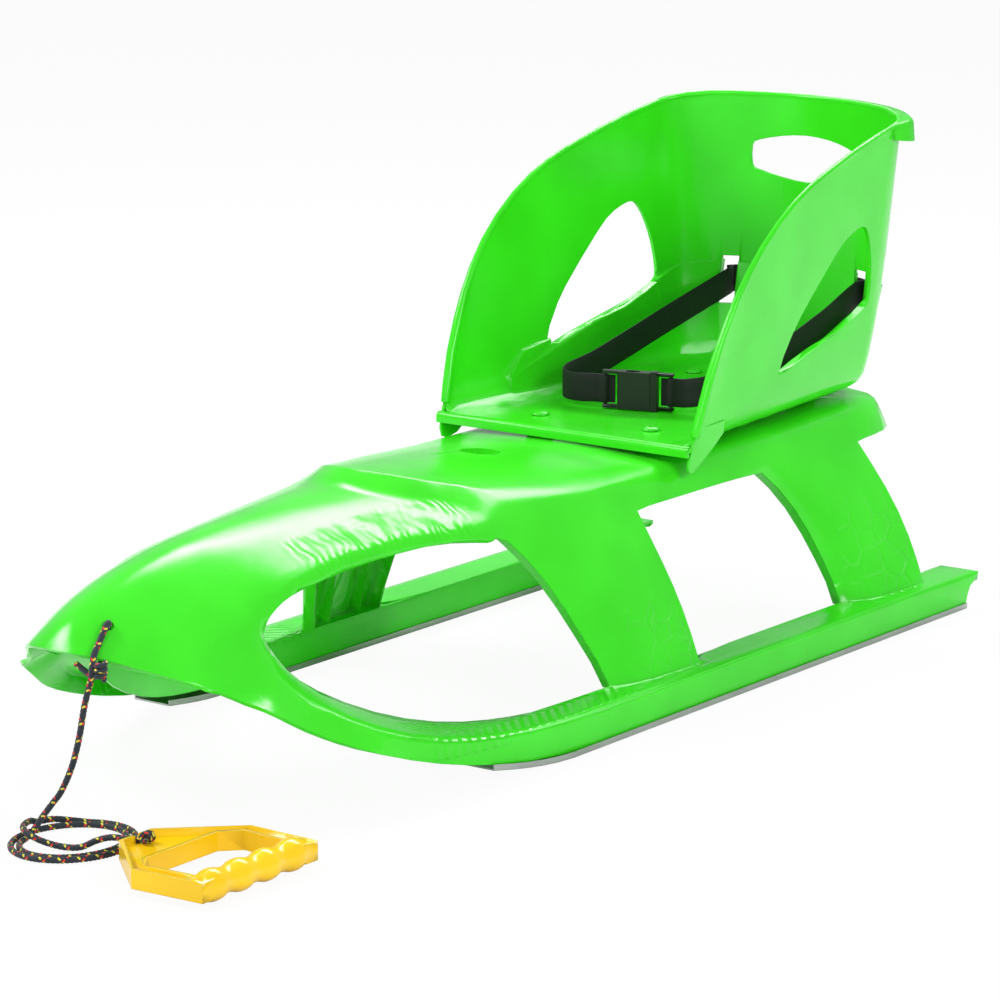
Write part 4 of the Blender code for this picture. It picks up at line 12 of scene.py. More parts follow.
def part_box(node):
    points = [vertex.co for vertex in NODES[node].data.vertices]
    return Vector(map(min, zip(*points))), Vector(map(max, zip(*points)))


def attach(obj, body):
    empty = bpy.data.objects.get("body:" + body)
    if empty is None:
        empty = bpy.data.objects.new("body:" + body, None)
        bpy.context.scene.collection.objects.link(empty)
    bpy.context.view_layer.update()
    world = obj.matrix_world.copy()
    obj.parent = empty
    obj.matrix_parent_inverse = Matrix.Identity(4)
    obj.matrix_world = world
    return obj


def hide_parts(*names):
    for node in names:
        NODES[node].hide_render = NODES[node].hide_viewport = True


bl_info = {
    "name": "Snow Sled with Child Seat",
    "version": (1, 0, 0),
    "blender": (4, 5, 0),
    "location": "View3D > Sidebar > Sled",
    "description": "Dresses a plastic sled with its seat, belt, runners and tow rope",
    "category": "Object",
}

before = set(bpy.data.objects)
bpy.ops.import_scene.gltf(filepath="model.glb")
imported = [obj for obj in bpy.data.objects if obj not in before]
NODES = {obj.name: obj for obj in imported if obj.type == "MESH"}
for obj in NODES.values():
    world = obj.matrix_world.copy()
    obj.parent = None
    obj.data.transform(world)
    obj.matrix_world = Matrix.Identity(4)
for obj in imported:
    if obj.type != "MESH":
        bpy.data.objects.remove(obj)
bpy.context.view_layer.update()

# The part's drawing has its own zero 13.8 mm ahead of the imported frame's
DRAWING = Vector((0.0, 0.0138, 0.0))

# The camera: turned from the sled's front and raised, as found from its own symmetry
CAMERA_AROUND = math.radians(35.998)
CAMERA_ABOVE = math.radians(12.512)
CAMERA_PLACE = (2.2264, -3.0139, 0.9952)
CAMERA_LENS = 166.66
SENSOR_WIDTH = 36.0

# Soft lamps: name, place, aim, size and power in watts
LAMPS = (
    ("key_softbox", (-1.9, -1.4, 2.4), (0.0, -0.1, 0.2), (1.5, 0.7), 60.0),
    ("front_softbox", (1.0, -3.0, 1.3), (0.0, -0.2, 0.1), (1.8, 0.9), 18.0),
    ("side_softbox", (2.8, -0.6, 1.5), (0.0, 0.0, 0.2), (1.5, 0.8), 36.0),
    ("top_softbox", (-0.6, 1.9, 2.3), (0.0, 0.1, 0.2), (2.4, 0.7), 62.0))
FLOOR_SIZE = 40.0
FLOOR_DROP = 0.0004
FLOOR_GLOW = 0.94
SKY_LIGHT = 0.50

# Relief in the moulding: a patch is its reach from the middle, along and up, each with a fade
TREAD_PITCH = 0.0120
TREAD_HIGH = 0.80
TREAD_MIDDLE_X = 0.1620
TREAD_SLANT = 1.1
TREAD_PATCH = ((0.139, 0.186, 0.003), (-0.275, -0.040, 0.020), (0.030, 0.056, 0.003))
RIPPLE_PITCH = 0.0090
RIPPLE_HIGH = 0.34
RIPPLE_PATCH = ((0.050, 0.112, 0.010), (-0.300, -0.150, 0.025), (0.166, 0.192, 0.006))
FACET_HIGH = 0.50
FACET_PATCHES = (
    ((0.138, 0.185, 0.003), (0.000, 0.085, 0.008), (0.036, 0.088, 0.010)),
    ((0.138, 0.185, 0.003), (0.335, 0.425, 0.008), (0.036, 0.112, 0.010)))

# Lap belt, as drawn
WEB_WIDTH = 0.0250
WEB_THICK = 0.0014
BUCKLE_CENTRE = Vector((0.0015, 0.2550, 0.2158))
BUCKLE_TURN = math.radians(17.0)
BAR_RADIUS = 0.0016
PLUG_BAR = 0.0288
SOCKET_BAR = -0.0310
FOLD_REACH = 0.0090
FOLD_TRIM = 0.0006
LAP_LENGTH = 0.0200
LAP_FADE = 0.0080
STRAP_PITCH = 0.0022
NEAR_ROUTE = ((0.0600, 0.2690, 0.2200), (0.0740, 0.3000, 0.2260), (0.0805, 0.3600, 0.2400),
              (0.0800, 0.4240, 0.2560))
FAR_ROUTE = ((-0.0550, 0.2400, 0.2150), (-0.0740, 0.2480, 0.2150), (-0.0835, 0.2660, 0.2160),
             (-0.0817, 0.3000, 0.2210), (-0.0782, 0.3500, 0.2330), (-0.0746, 0.4000, 0.2460))

# The seat's bowed rear face at the height of the belt slots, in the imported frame, and the way
# out through a slot on the left
SEAT_REAR_Y = 0.5162
SEAT_BOW = 3.05
SLOT_MIDDLE_Z = 0.27175
SLOT_OUT = (0.3931, 0.9195)
# The webbing behind the back: x, and its distance outside the rear face
BACK_RUN = ((0.0742, -0.0050), (0.0722, -0.0022), (0.0688, 0.0003), (0.0640, 0.0013),
            (0.0580, 0.0015), (0.0400, 0.0015), (0.0200, 0.0015), (0.0, 0.0015))

# A seat bolt's head over its seat: (radius, height)
BOLT_HEAD_HIGH = 0.0032
BOLT_SHANK = 0.0030
BOLT_HEAD = ((0.0078, 0.0), (0.0080, 0.0003), (0.0079, 0.0009), (0.0072, 0.0018),
             (0.0058, 0.0026), (0.0038, 0.0030), (0.0021, 0.0031), (0.0019, 0.0022),
             (0.0, 0.0018))

# Tow rope, as drawn: the loop through the nose, the fall, the turns on the floor, the way out
ROPE_STUB = (0.0331, -0.5110, 0.1203)
ROPE_OUTSIDE = ((0.0345, -0.5108, 0.1260), (0.0350, -0.5105, 0.1310), (0.0345, -0.5088, 0.1370),
                (0.0331, -0.5056, 0.1418), (0.0319, -0.5020, 0.1445), (0.0307, -0.4970, 0.1485),
                (0.0288, -0.4900, 0.1545), (0.0273, -0.4823, 0.1603))
ROPE_INSIDE = ((0.0228, -0.4785, 0.1533), (0.0235, -0.4830, 0.1440), (0.0265, -0.4900, 0.1340),
               (0.0310, -0.4975, 0.1275), (0.0365, -0.5040, 0.1285), (0.0400, -0.5070, 0.1305))
ROPE_TAIL = ((0.0385, -0.5060, 0.1270), (0.0325, -0.5050, 0.1245), (0.0261, -0.5050, 0.1262),
             (0.0145, -0.5050, 0.1318))
ROPE_FALL = ((0.0305, -0.5110, 0.1130), (0.0270, -0.5110, 0.1015), (0.0215, -0.5110, 0.0775),
             (0.0143, -0.5115, 0.0543), (0.0033, -0.5130, 0.0318), (-0.0023, -0.5155, 0.0236),
             (-0.0052, -0.5190, 0.0178), (-0.0068, -0.5240, 0.0125), (-0.0068, -0.5300, 0.0076))
COIL_EXIT = ((-0.0166, -0.5235, 0.0094), (-0.0140, -0.5330, 0.0102), (-0.0085, -0.5420, 0.0102),
             (0.0005, -0.5490, 0.0100), (0.0110, -0.5515, 0.0080), (0.0225, -0.5490, 0.0050),
             (0.0360, -0.5450, 0.0034), (0.0485, -0.5420, 0.0050), (0.0590, -0.5380, 0.0105),
             (0.0680, -0.5345, 0.0138), (0.0770, -0.5325, 0.0148), (0.0865, -0.5320, 0.0144))
COIL_CENTRE = (0.0284, -0.5300)
COIL_HALVES = (0.0350, 0.0415)
COIL_START = math.radians(196.0)
COIL_GROWTH = 0.0064
COIL_TURNS = 1.90
ROPE_LAY = 0.0140
ROPE_PITCH = 0.0010
KNOT_CENTRE = Vector((0.0400, -0.5070, 0.1305))
HANDLE_KNOT = Vector((0.1040, -0.5320, 0.0201))


def linear(hex_colour):
    """An sRGB hex colour as linear red, green and blue."""
    parts = [int(hex_colour[i:i + 2], 16) / 255.0 for i in (1, 3, 5)]
    return tuple(c / 12.92 if c <= 0.04045 else ((c + 0.055) / 1.055) ** 2.4 for c in parts)


class SledColours(bpy.types.PropertyGroup):
    """Colours that a user would change."""
    shell: bpy.props.FloatVectorProperty(
        name="Shell", description="Colour of the moulded sled and seat", subtype="COLOR",
        size=3, min=0.0, max=1.0, default=linear("#3CE01C"))
    grip: bpy.props.FloatVectorProperty(
        name="Grip", description="Colour of the tow handle", subtype="COLOR",
        size=3, min=0.0, max=1.0, default=linear("#FACB0E"))
    webbing: bpy.props.FloatVectorProperty(
        name="Webbing", description="Colour of the lap belt", subtype="COLOR",
        size=3, min=0.0, max=1.0, default=linear("#0D0D0F"))
    buckle: bpy.props.FloatVectorProperty(
        name="Buckle", description="Colour of the buckle", subtype="COLOR",
        size=3, min=0.0, max=1.0, default=linear("#161617"))
    rope: bpy.props.FloatVectorProperty(
        name="Rope", description="Main colour of the braided rope", subtype="COLOR",
        size=3, min=0.0, max=1.0, default=linear("#1C2630"))


class SledSizes(bpy.types.PropertyGroup):
    """Sizes that a user would change."""
    rope_diameter: bpy.props.FloatProperty(
        name="Rope diameter", description="Diameter of the tow rope", default=0.0050,
        min=0.0030, max=0.0060, subtype="DISTANCE", unit="LENGTH")
    edge_round: bpy.props.FloatProperty(
        name="Edge rounding", description="Radius at the edges of the moulded pieces",
        default=0.0010, min=0.0002, max=0.0030, subtype="DISTANCE", unit="LENGTH")
    grain: bpy.props.FloatProperty(
        name="Grain height", description="Height of the grain moulded into the sides",
        default=0.00012, min=0.0, max=0.0005, subtype="DISTANCE", unit="LENGTH")


def add_node(tree, kind, links=(), **settings):
    """Add a shader node, set its values and link its inputs: (input, node, output)."""
    node = tree.nodes.new(kind)
    for key, value in settings.items():
        if hasattr(node, key):
            setattr(node, key, value)
        else:
            node.inputs[key.replace("_", " ")].default_value = value
    for entry, source, output in links:
        tree.links.new(source.outputs[output], node.inputs[entry])
    return node


def new_material(name):
    """An empty node material with its output node; returns (material, tree, output)."""
    made = bpy.data.materials.new(name)
    made.use_nodes = True
    made.node_tree.nodes.clear()
    output = made.node_tree.nodes.new("ShaderNodeOutputMaterial")
    return made, made.node_tree, output


def surface(tree, output, **settings):
    """A Principled shader joined to the output, its constants on its own sockets."""
    shader = tree.nodes.new("ShaderNodeBsdfPrincipled")
    for key, value in settings.items():
        name = key.replace("_", " ")
        shader.inputs[name].default_value = value
    tree.links.new(shader.outputs["BSDF"], output.inputs["Surface"])
    return shader


def rounded_normal(tree, shader, radius, height=None, distance=0.001):
    """Join a normal with softened edges, and a height pattern over it, to a shader."""
    rounding = add_node(tree, "ShaderNodeBevel", samples=4)
    rounding.inputs["Radius"].default_value = radius
    if height is None:
        tree.links.new(rounding.outputs["Normal"], shader.inputs["Normal"])
        return
    bump = tree.nodes.new("ShaderNodeBump")
    bump.inputs["Strength"].default_value = 1.0
    bump.inputs["Distance"].default_value = distance
    tree.links.new(height, bump.inputs["Height"])
    tree.links.new(rounding.outputs["Normal"], bump.inputs["Normal"])
    tree.links.new(bump.outputs["Normal"], shader.inputs["Normal"])


def reckon(tree, operation, *values):
    """One step of arithmetic on numbers and node outputs."""
    node = tree.nodes.new("ShaderNodeMath")
    node.operation = operation
    for socket, value in zip(node.inputs, values):
        if isinstance(value, (int, float)):
            socket.default_value = value
        else:
            tree.links.new(value, socket)
    return node.outputs["Value"]


def band(tree, value, low, high, soft):
    """One between two values, falling smoothly to nought outside them."""
    sides = []
    for start, end in ((low - soft, low), (high + soft, high)):
        ramp = add_node(tree, "ShaderNodeMapRange", interpolation_type="SMOOTHSTEP")
        tree.links.new(value, ramp.inputs["Value"])
        ramp.inputs["From Min"].default_value = start
        ramp.inputs["From Max"].default_value = end
        sides.append(ramp.outputs["Result"])
    return reckon(tree, "MULTIPLY", *sides)


def moulded_relief(tree, where):
    """Relief cut into the mould, in millimetres: treads, ripples beside the hull, ice facets."""
    parts = add_node(tree, "ShaderNodeSeparateXYZ", [("Vector", where, "Object")])
    x = reckon(tree, "ABSOLUTE", parts.outputs["X"])
    y, z = parts.outputs["Y"], parts.outputs["Z"]

    def patch(across, along, upright):
        masks = [band(tree, value, *limits)
                 for value, limits in ((x, across), (y, along), (z, upright))]
        return reckon(tree, "MULTIPLY", reckon(tree, "MULTIPLY", masks[0], masks[1]), masks[2])

    # V treads on top of the runners' fronts
    aside = reckon(tree, "ABSOLUTE", reckon(tree, "SUBTRACT", x, TREAD_MIDDLE_X))
    half = 0.5 * TREAD_PITCH
    tread = reckon(tree, "PINGPONG", reckon(tree, "MULTIPLY_ADD", aside, TREAD_SLANT, y), half)
    treads = reckon(tree, "MULTIPLY", reckon(tree, "MULTIPLY", tread, TREAD_HIGH / half),
                    patch(*TREAD_PATCH))
    # Ripples that wander like driven snow
    drift = add_node(tree, "ShaderNodeTexNoise", [("Vector", where, "Object")],
                     Scale=38.0, Detail=1.0)
    wander = reckon(tree, "MULTIPLY_ADD", drift.outputs["Fac"], 0.030, y)
    half = 0.5 * RIPPLE_PITCH
    ripple = reckon(tree, "PINGPONG", reckon(tree, "MULTIPLY_ADD", x, 0.5, wander), half)
    ripples = reckon(tree, "MULTIPLY", reckon(tree, "MULTIPLY", ripple, RIPPLE_HIGH / half),
                     patch(*RIPPLE_PATCH))
    # Ice facets 20 to 30 mm across on the feet of the legs
    shards = add_node(tree, "ShaderNodeTexVoronoi", [("Vector", where, "Object")],
                      feature="DISTANCE_TO_EDGE", Scale=40.0)
    facet = add_node(tree, "ShaderNodeMapRange", [("Value", shards, "Distance")])
    facet.inputs["From Max"].default_value = 0.10
    feet = reckon(tree, "MAXIMUM", *[patch(*place) for place in FACET_PATCHES])
    facets = reckon(tree, "MULTIPLY",
                    reckon(tree, "MULTIPLY", facet.outputs["Result"], FACET_HIGH), feet)
    return reckon(tree, "ADD", reckon(tree, "ADD", treads, ripples), facets)


def moulded_polypropylene(name, colour, radius, grain, relief=False):
    """Injection-moulded polypropylene: a waxy gloss that waves a little where the wall shrank."""
    made, tree, output = new_material(name)
    shader = surface(tree, output, Roughness=0.17, IOR=1.49, Subsurface_Weight=0.04,
                     Subsurface_Scale=0.004, Subsurface_Radius=(0.3, 1.0, 0.2),
                     Specular_IOR_Level=0.40)
    where = add_node(tree, "ShaderNodeTexCoord")
    # Slow sink marks 60 mm apart, and a grain of 1.5 mm, coarser than real to show in the render
    slow = add_node(tree, "ShaderNodeTexNoise", [("Vector", where, "Object")],
                    Scale=16.0, Detail=2.0, Roughness=0.4)
    fine = add_node(tree, "ShaderNodeTexNoise", [("Vector", where, "Object")],
                    Scale=650.0, Detail=2.0, Roughness=0.6)
    tint = add_node(tree, "ShaderNodeValToRGB", [("Fac", slow, "Fac")])
    tint.color_ramp.elements[0].position = 0.30
    tint.color_ramp.elements[1].position = 0.75
    tint.color_ramp.elements[0].color = (*[0.90 * c for c in colour], 1.0)
    tint.color_ramp.elements[1].color = (*[min(1.0, 1.04 * c + 0.004) for c in colour], 1.0)
    tree.links.new(tint.outputs["Color"], shader.inputs["Base Color"])
    scaled = reckon(tree, "MULTIPLY", fine.outputs["Fac"], grain / 0.001)
    height = reckon(tree, "MULTIPLY_ADD", slow.outputs["Fac"], 0.50, scaled)
    if relief:
        height = reckon(tree, "ADD", height, moulded_relief(tree, where))
    rounded_normal(tree, shader, radius, height, 0.001)
    return made


def rolled_steel(name):
    """Cold-rolled steel strip: fine lines along its length, duller where snow and grit rubbed."""
    made, tree, output = new_material(name)
    shader = surface(tree, output, Metallic=1.0, Roughness=0.34)
    where = add_node(tree, "ShaderNodeTexCoord")
    along = add_node(tree, "ShaderNodeMapping", [("Vector", where, "Object")],
                     Scale=(1400.0, 14.0, 1400.0))
    lines = add_node(tree, "ShaderNodeTexNoise", [("Vector", along, "Vector")],
                     Scale=1.0, Detail=3.0)
    rubbed = add_node(tree, "ShaderNodeTexNoise", [("Vector", where, "Object")],
                      Scale=22.0, Detail=4.0)
    shade = add_node(tree, "ShaderNodeValToRGB", [("Fac", rubbed, "Fac")])
    shade.color_ramp.elements[0].color = (*linear("#A9A6A8"), 1.0)
    shade.color_ramp.elements[1].color = (*linear("#CFCDCE"), 1.0)
    tree.links.new(shade.outputs["Color"], shader.inputs["Base Color"])
    rough = add_node(tree, "ShaderNodeMapRange", [("Value", lines, "Fac")])
    rough.inputs["To Min"].default_value = 0.24
    rough.inputs["To Max"].default_value = 0.46
    tree.links.new(rough.outputs["Result"], shader.inputs["Roughness"])
    rounded_normal(tree, shader, 0.0003, lines.outputs["Fac"], 0.00003)
    return made


def zinc_plate(name):
    """Zinc-plated steel: a bright grey with a faint cloudy bloom."""
    made, tree, output = new_material(name)
    shader = surface(tree, output, Metallic=1.0, Roughness=0.28)
    where = add_node(tree, "ShaderNodeTexCoord")
    bloom = add_node(tree, "ShaderNodeTexNoise", [("Vector", where, "Object")],
                     Scale=260.0, Detail=3.0)
    shade = add_node(tree, "ShaderNodeValToRGB", [("Fac", bloom, "Fac")])
    shade.color_ramp.elements[0].color = (*linear("#B4B3B0"), 1.0)
    shade.color_ramp.elements[1].color = (*linear("#D9D8D4"), 1.0)
    tree.links.new(shade.outputs["Color"], shader.inputs["Base Color"])
    rough = add_node(tree, "ShaderNodeMapRange", [("Value", bloom, "Fac")])
    rough.inputs["To Min"].default_value = 0.20
    rough.inputs["To Max"].default_value = 0.38
    tree.links.new(rough.outputs["Result"], shader.inputs["Roughness"])
    rounded_normal(tree, shader, 0.0003)
    return made


def lacquered_steel(name, colour):
    """Bolt stoved with lacquer in the moulding's colour: an even gloss, slightly pebbled."""
    made, tree, output = new_material(name)
    shader = surface(tree, output, Roughness=0.30, IOR=1.5)
    where = add_node(tree, "ShaderNodeTexCoord")
    pebble = add_node(tree, "ShaderNodeTexNoise", [("Vector", where, "Object")],
                      Scale=900.0, Detail=2.0)
    shade = add_node(tree, "ShaderNodeValToRGB", [("Fac", pebble, "Fac")])
    shade.color_ramp.elements[0].color = (*[0.80 * c for c in colour], 1.0)
    shade.color_ramp.elements[1].color = (*[0.95 * c for c in colour], 1.0)
    tree.links.new(shade.outputs["Color"], shader.inputs["Base Color"])
    rounded_normal(tree, shader, 0.0003, pebble.outputs["Fac"], 0.00003)
    return made


def moulded_acetal(name, colour):
    """Acetal of a side-release buckle: dark, smooth, a little greasy, with a fine spark grain."""
    made, tree, output = new_material(name)
    shader = surface(tree, output, Roughness=0.42, IOR=1.48,
                     Base_Color=(*colour, 1.0))
    where = add_node(tree, "ShaderNodeTexCoord")
    grain = add_node(tree, "ShaderNodeTexNoise", [("Vector", where, "Object")],
                     Scale=1500.0, Detail=2.0)
    rough = add_node(tree, "ShaderNodeMapRange", [("Value", grain, "Fac")])
    rough.inputs["To Min"].default_value = 0.34
    rough.inputs["To Max"].default_value = 0.52
    tree.links.new(rough.outputs["Result"], shader.inputs["Roughness"])
    rounded_normal(tree, shader, 0.0005, grain.outputs["Fac"], 0.00004)
    return made


def woven_webbing(name, colour):
    """Woven polypropylene webbing: ribs across it 1.6 mm apart, woven of paired warp yarns, with
    painted shade in the weave's hollows and a painted highlight on its ribs.
    """
    made, tree, output = new_material(name)
    shader = surface(tree, output, Roughness=0.72, IOR=1.46, Sheen_Weight=0.12,
                     Sheen_Roughness=0.45)
    shader.inputs["Sheen Tint"].default_value = (*linear("#9A9AA0"), 1.0)
    where = add_node(tree, "ShaderNodeUVMap", uv_map="weave")
    parts = add_node(tree, "ShaderNodeSeparateXYZ", [("Vector", where, "UV")])
    # The map holds millimetres: along in u, across in v
    ribs, ends = [
        reckon(tree, "SINE", reckon(tree, "MULTIPLY", parts.outputs[axis],
                                    2.0 * math.pi / pitch))
        for axis, pitch in (("X", 1.6), ("Y", 1.25))]
    shade = add_node(tree, "ShaderNodeMapRange")
    tree.links.new(reckon(tree, "MULTIPLY", ribs, ends), shade.inputs["Value"])
    shade.inputs["From Min"].default_value = -1.0
    # Painted shade and highlight: the colour is darkened to 0.45 in the weave's hollows and
    # lightened to 1.7 on its ribs, following the same relief as the bump
    weave_painted_shade = add_node(tree, "ShaderNodeValToRGB", [("Fac", shade, "Result")])
    weave_painted_shade.color_ramp.elements[0].color = (*[0.45 * c for c in colour], 1.0)
    weave_painted_shade.color_ramp.elements[1].color = (*[1.7 * c for c in colour], 1.0)
    tree.links.new(weave_painted_shade.outputs["Color"], shader.inputs["Base Color"])
    bump = add_node(tree, "ShaderNodeBump", [("Height", shade, "Result")])
    bump.inputs["Distance"].default_value = 0.0003
    tree.links.new(bump.outputs["Normal"], shader.inputs["Normal"])
    return made


def braided_rope(name, colour):
    """Eight-strand braided rope: dark yarn with one red and one yellow tracer that come and go."""
    made, tree, output = new_material(name)
    shader = surface(tree, output, Roughness=0.68, IOR=1.46, Sheen_Weight=0.15,
                     Sheen_Roughness=0.5)
    where = add_node(tree, "ShaderNodeUVMap", uv_map="weave")
    parts = add_node(tree, "ShaderNodeSeparateXYZ", [("Vector", where, "UV")])
    # u is the length in lays of 14 mm, v the turn; each family of strands winds its own way
    along, turn = parts.outputs["X"], parts.outputs["Y"]
    right = reckon(tree, "ADD", along, turn)
    left = reckon(tree, "SUBTRACT", along, turn)
    masks = []
    for winding, other, place in ((right, left, 0.10), (left, right, 0.55)):
        share = reckon(tree, "FRACT", reckon(tree, "ADD", winding, place))
        over = reckon(tree, "FRACT", reckon(tree, "MULTIPLY", other, 2.0))
        masks.append(reckon(tree, "MULTIPLY", reckon(tree, "LESS_THAN", share, 0.15),
                            reckon(tree, "LESS_THAN", over, 0.55)))
    yarn = add_node(tree, "ShaderNodeTexNoise", [("Vector", where, "UV")], Scale=9.0, Detail=2.0)
    dark = add_node(tree, "ShaderNodeValToRGB", [("Fac", yarn, "Fac")])
    dark.color_ramp.elements[0].color = (*[0.45 * c for c in colour], 1.0)
    dark.color_ramp.elements[1].color = (*[1.5 * c for c in colour], 1.0)
    red = add_node(tree, "ShaderNodeMix", data_type="RGBA")
    tree.links.new(masks[0], red.inputs[0])
    tree.links.new(dark.outputs["Color"], red.inputs[6])
    red.inputs[7].default_value = (*linear("#D6202B"), 1.0)
    yellow = add_node(tree, "ShaderNodeMix", data_type="RGBA")
    tree.links.new(masks[1], yellow.inputs[0])
    tree.links.new(red.outputs[2], yellow.inputs[6])
    yellow.inputs[7].default_value = (*linear("#D8CE3A"), 1.0)
    tree.links.new(yellow.outputs[2], shader.inputs["Base Color"])
    bump = add_node(tree, "ShaderNodeBump", [("Height", yarn, "Fac")])
    bump.inputs["Distance"].default_value = 0.0002
    tree.links.new(bump.outputs["Normal"], shader.inputs["Normal"])
    return made


def dress(piece, finish):
    """Give a piece its only material."""
    piece.data.materials.clear()
    piece.data.materials.append(finish)
    return piece


def deselect():
    bpy.ops.object.select_all(action="DESELECT")


def make_active(piece):
    """Select one object alone and make it the active one."""
    deselect()
    piece.select_set(True)
    bpy.context.view_layer.objects.active = piece


def add_object(name, mesh):
    piece = bpy.data.objects.new(name, mesh)
    bpy.context.scene.collection.objects.link(piece)
    return piece


def merged_copy(node, name, sharp=34.0):
    """A joined copy of a model node, shaded smooth but for its real edges, that stands for it."""
    piece = add_object(name, NODES[node].data.copy())
    make_active(piece)
    bpy.ops.object.mode_set(mode="EDIT")
    bpy.ops.mesh.select_all(action="SELECT")
    bpy.ops.mesh.remove_doubles(threshold=0.00001)
    bpy.ops.object.mode_set(mode="OBJECT")
    bpy.ops.object.shade_smooth_by_angle(angle=math.radians(sharp))
    weighted = piece.modifiers.new("even shading", "WEIGHTED_NORMAL")
    weighted.keep_sharp = True
    weighted.weight = 60
    bpy.ops.object.modifier_apply(modifier=weighted.name)
    return piece


def settle(piece, node, body="sled"):
    """A piece that stands for a model node rides on its body."""
    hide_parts(*(node if isinstance(node, tuple) else (node,)))
    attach(piece, body)
    return piece


def drawn(point):
    """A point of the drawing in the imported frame."""
    return Vector(point) - DRAWING


def smooth_run(points, pitch):
    """Evenly spaced points on a smooth open curve through chosen points."""
    chosen = [Vector(p) for p in points]
    padded = [2 * chosen[0] - chosen[1]] + chosen + [2 * chosen[-1] - chosen[-2]]
    fine = []
    for i in range(len(chosen) - 1):
        p0, p1, p2, p3 = padded[i:i + 4]
        t1 = (p1 - p0).length ** 0.5
        t2 = t1 + (p2 - p1).length ** 0.5
        t3 = t2 + (p3 - p2).length ** 0.5
        for k in range(24):
            t = t1 + (t2 - t1) * k / 24.0
            a1 = p0 * ((t1 - t) / t1) + p1 * (t / t1)
            a2 = p1 * ((t2 - t) / (t2 - t1)) + p2 * ((t - t1) / (t2 - t1))
            a3 = p2 * ((t3 - t) / (t3 - t2)) + p3 * ((t - t2) / (t3 - t2))
            b1 = a1 * ((t2 - t) / t2) + a2 * (t / t2)
            b2 = a2 * ((t3 - t) / (t3 - t1)) + a3 * ((t - t1) / (t3 - t1))
            fine.append(b1 * ((t2 - t) / (t2 - t1)) + b2 * ((t - t1) / (t2 - t1)))
    fine.append(chosen[-1])
    return even(fine, pitch)


def even(line, pitch):
    """The same line with evenly spaced points."""
    along = [0.0]
    for a, b in zip(line, line[1:]):
        along.append(along[-1] + (b - a).length)
    count = max(2, int(round(along[-1] / pitch)) + 1)
    result = []
    k = 0
    for i in range(count):
        s = along[-1] * i / (count - 1)
        while k < len(line) - 2 and along[k + 1] < s:
            k += 1
        span = max(1e-9, along[k + 1] - along[k])
        result.append(line[k].lerp(line[k + 1], min(1.0, (s - along[k]) / span)))
    return result


def braid(name, path, radius, sides=16, start=0.0):
    """A braided rope along a fine path: strands stand proud in diamonds, ends rounded."""
    points, faces, places = [], [], []
    across = (path[1] - path[0]).orthogonal().normalized()
    travelled = start
    rows = len(path)
    for i, point in enumerate(path):
        way = (path[min(i + 1, rows - 1)] - path[max(i - 1, 0)]).normalized()
        across = (across - way * across.dot(way)).normalized()
        up = way.cross(across)
        if i:
            travelled += (point - path[i - 1]).length
        for k in range(sides):
            share = k / sides
            angle = 2.0 * math.pi * share
            relief = abs(math.sin(4.0 * math.pi * (travelled / ROPE_LAY + share))
                         * math.sin(4.0 * math.pi * (travelled / ROPE_LAY - share)))
            size = radius * (0.90 + 0.14 * relief)
            points.append(point + across * (size * math.cos(angle))
                          + up * (size * math.sin(angle)))
            places.append((travelled / ROPE_LAY, share))
    uv = []
    for i in range(rows - 1):
        for k in range(sides):
            m = (k + 1) % sides
            a = sides * i
            faces.append((a + k, a + m, a + sides + m, a + sides + k))
            ends = [places[a + k], places[a + m], places[a + sides + m], places[a + sides + k]]
            uv.extend([(u, 1.0 if m == 0 and n in (1, 2) else v)
                       for n, (u, v) in enumerate(ends)])
    for ring, way in ((0, path[0] - path[1]), (rows - 1, path[-1] - path[-2])):
        tip = len(points)
        points.append(path[0 if ring == 0 else -1] + way.normalized() * (0.45 * radius))
        places.append(places[sides * ring])
        for k in range(sides):
            m = (k + 1) % sides
            a, b = sides * ring + k, sides * ring + m
            faces.append((b, a, tip) if ring == 0 else (a, b, tip))
            uv.extend([places[b], places[a], places[tip]] if ring == 0
                      else [places[a], places[b], places[tip]])
    mesh = bpy.data.meshes.new(name)
    mesh.from_pydata([tuple(p) for p in points], [], faces)
    layer = mesh.uv_layers.new(name="weave")
    for loop, value in zip(layer.data, uv):
        loop.uv = value
    for polygon in mesh.polygons:
        polygon.use_smooth = True
    return add_object(name, mesh)


def wraps(centre, axis, radius, pitch, turns):
    """Points of rope wound round an axis."""
    turn = Vector((0.0, 0.0, 1.0)).rotation_difference(Vector(axis)).to_matrix()
    points = []
    steps = int(turns * 20)
    for i in range(steps + 1):
        share = i / steps
        angle = 2.0 * math.pi * turns * share
        swell = radius * (0.92 + 0.08 * math.sin(math.pi * share))
        points.append(centre + turn @ Vector((
            swell * math.cos(angle), swell * math.sin(angle), pitch * turns * (share - 0.5))))
    return points


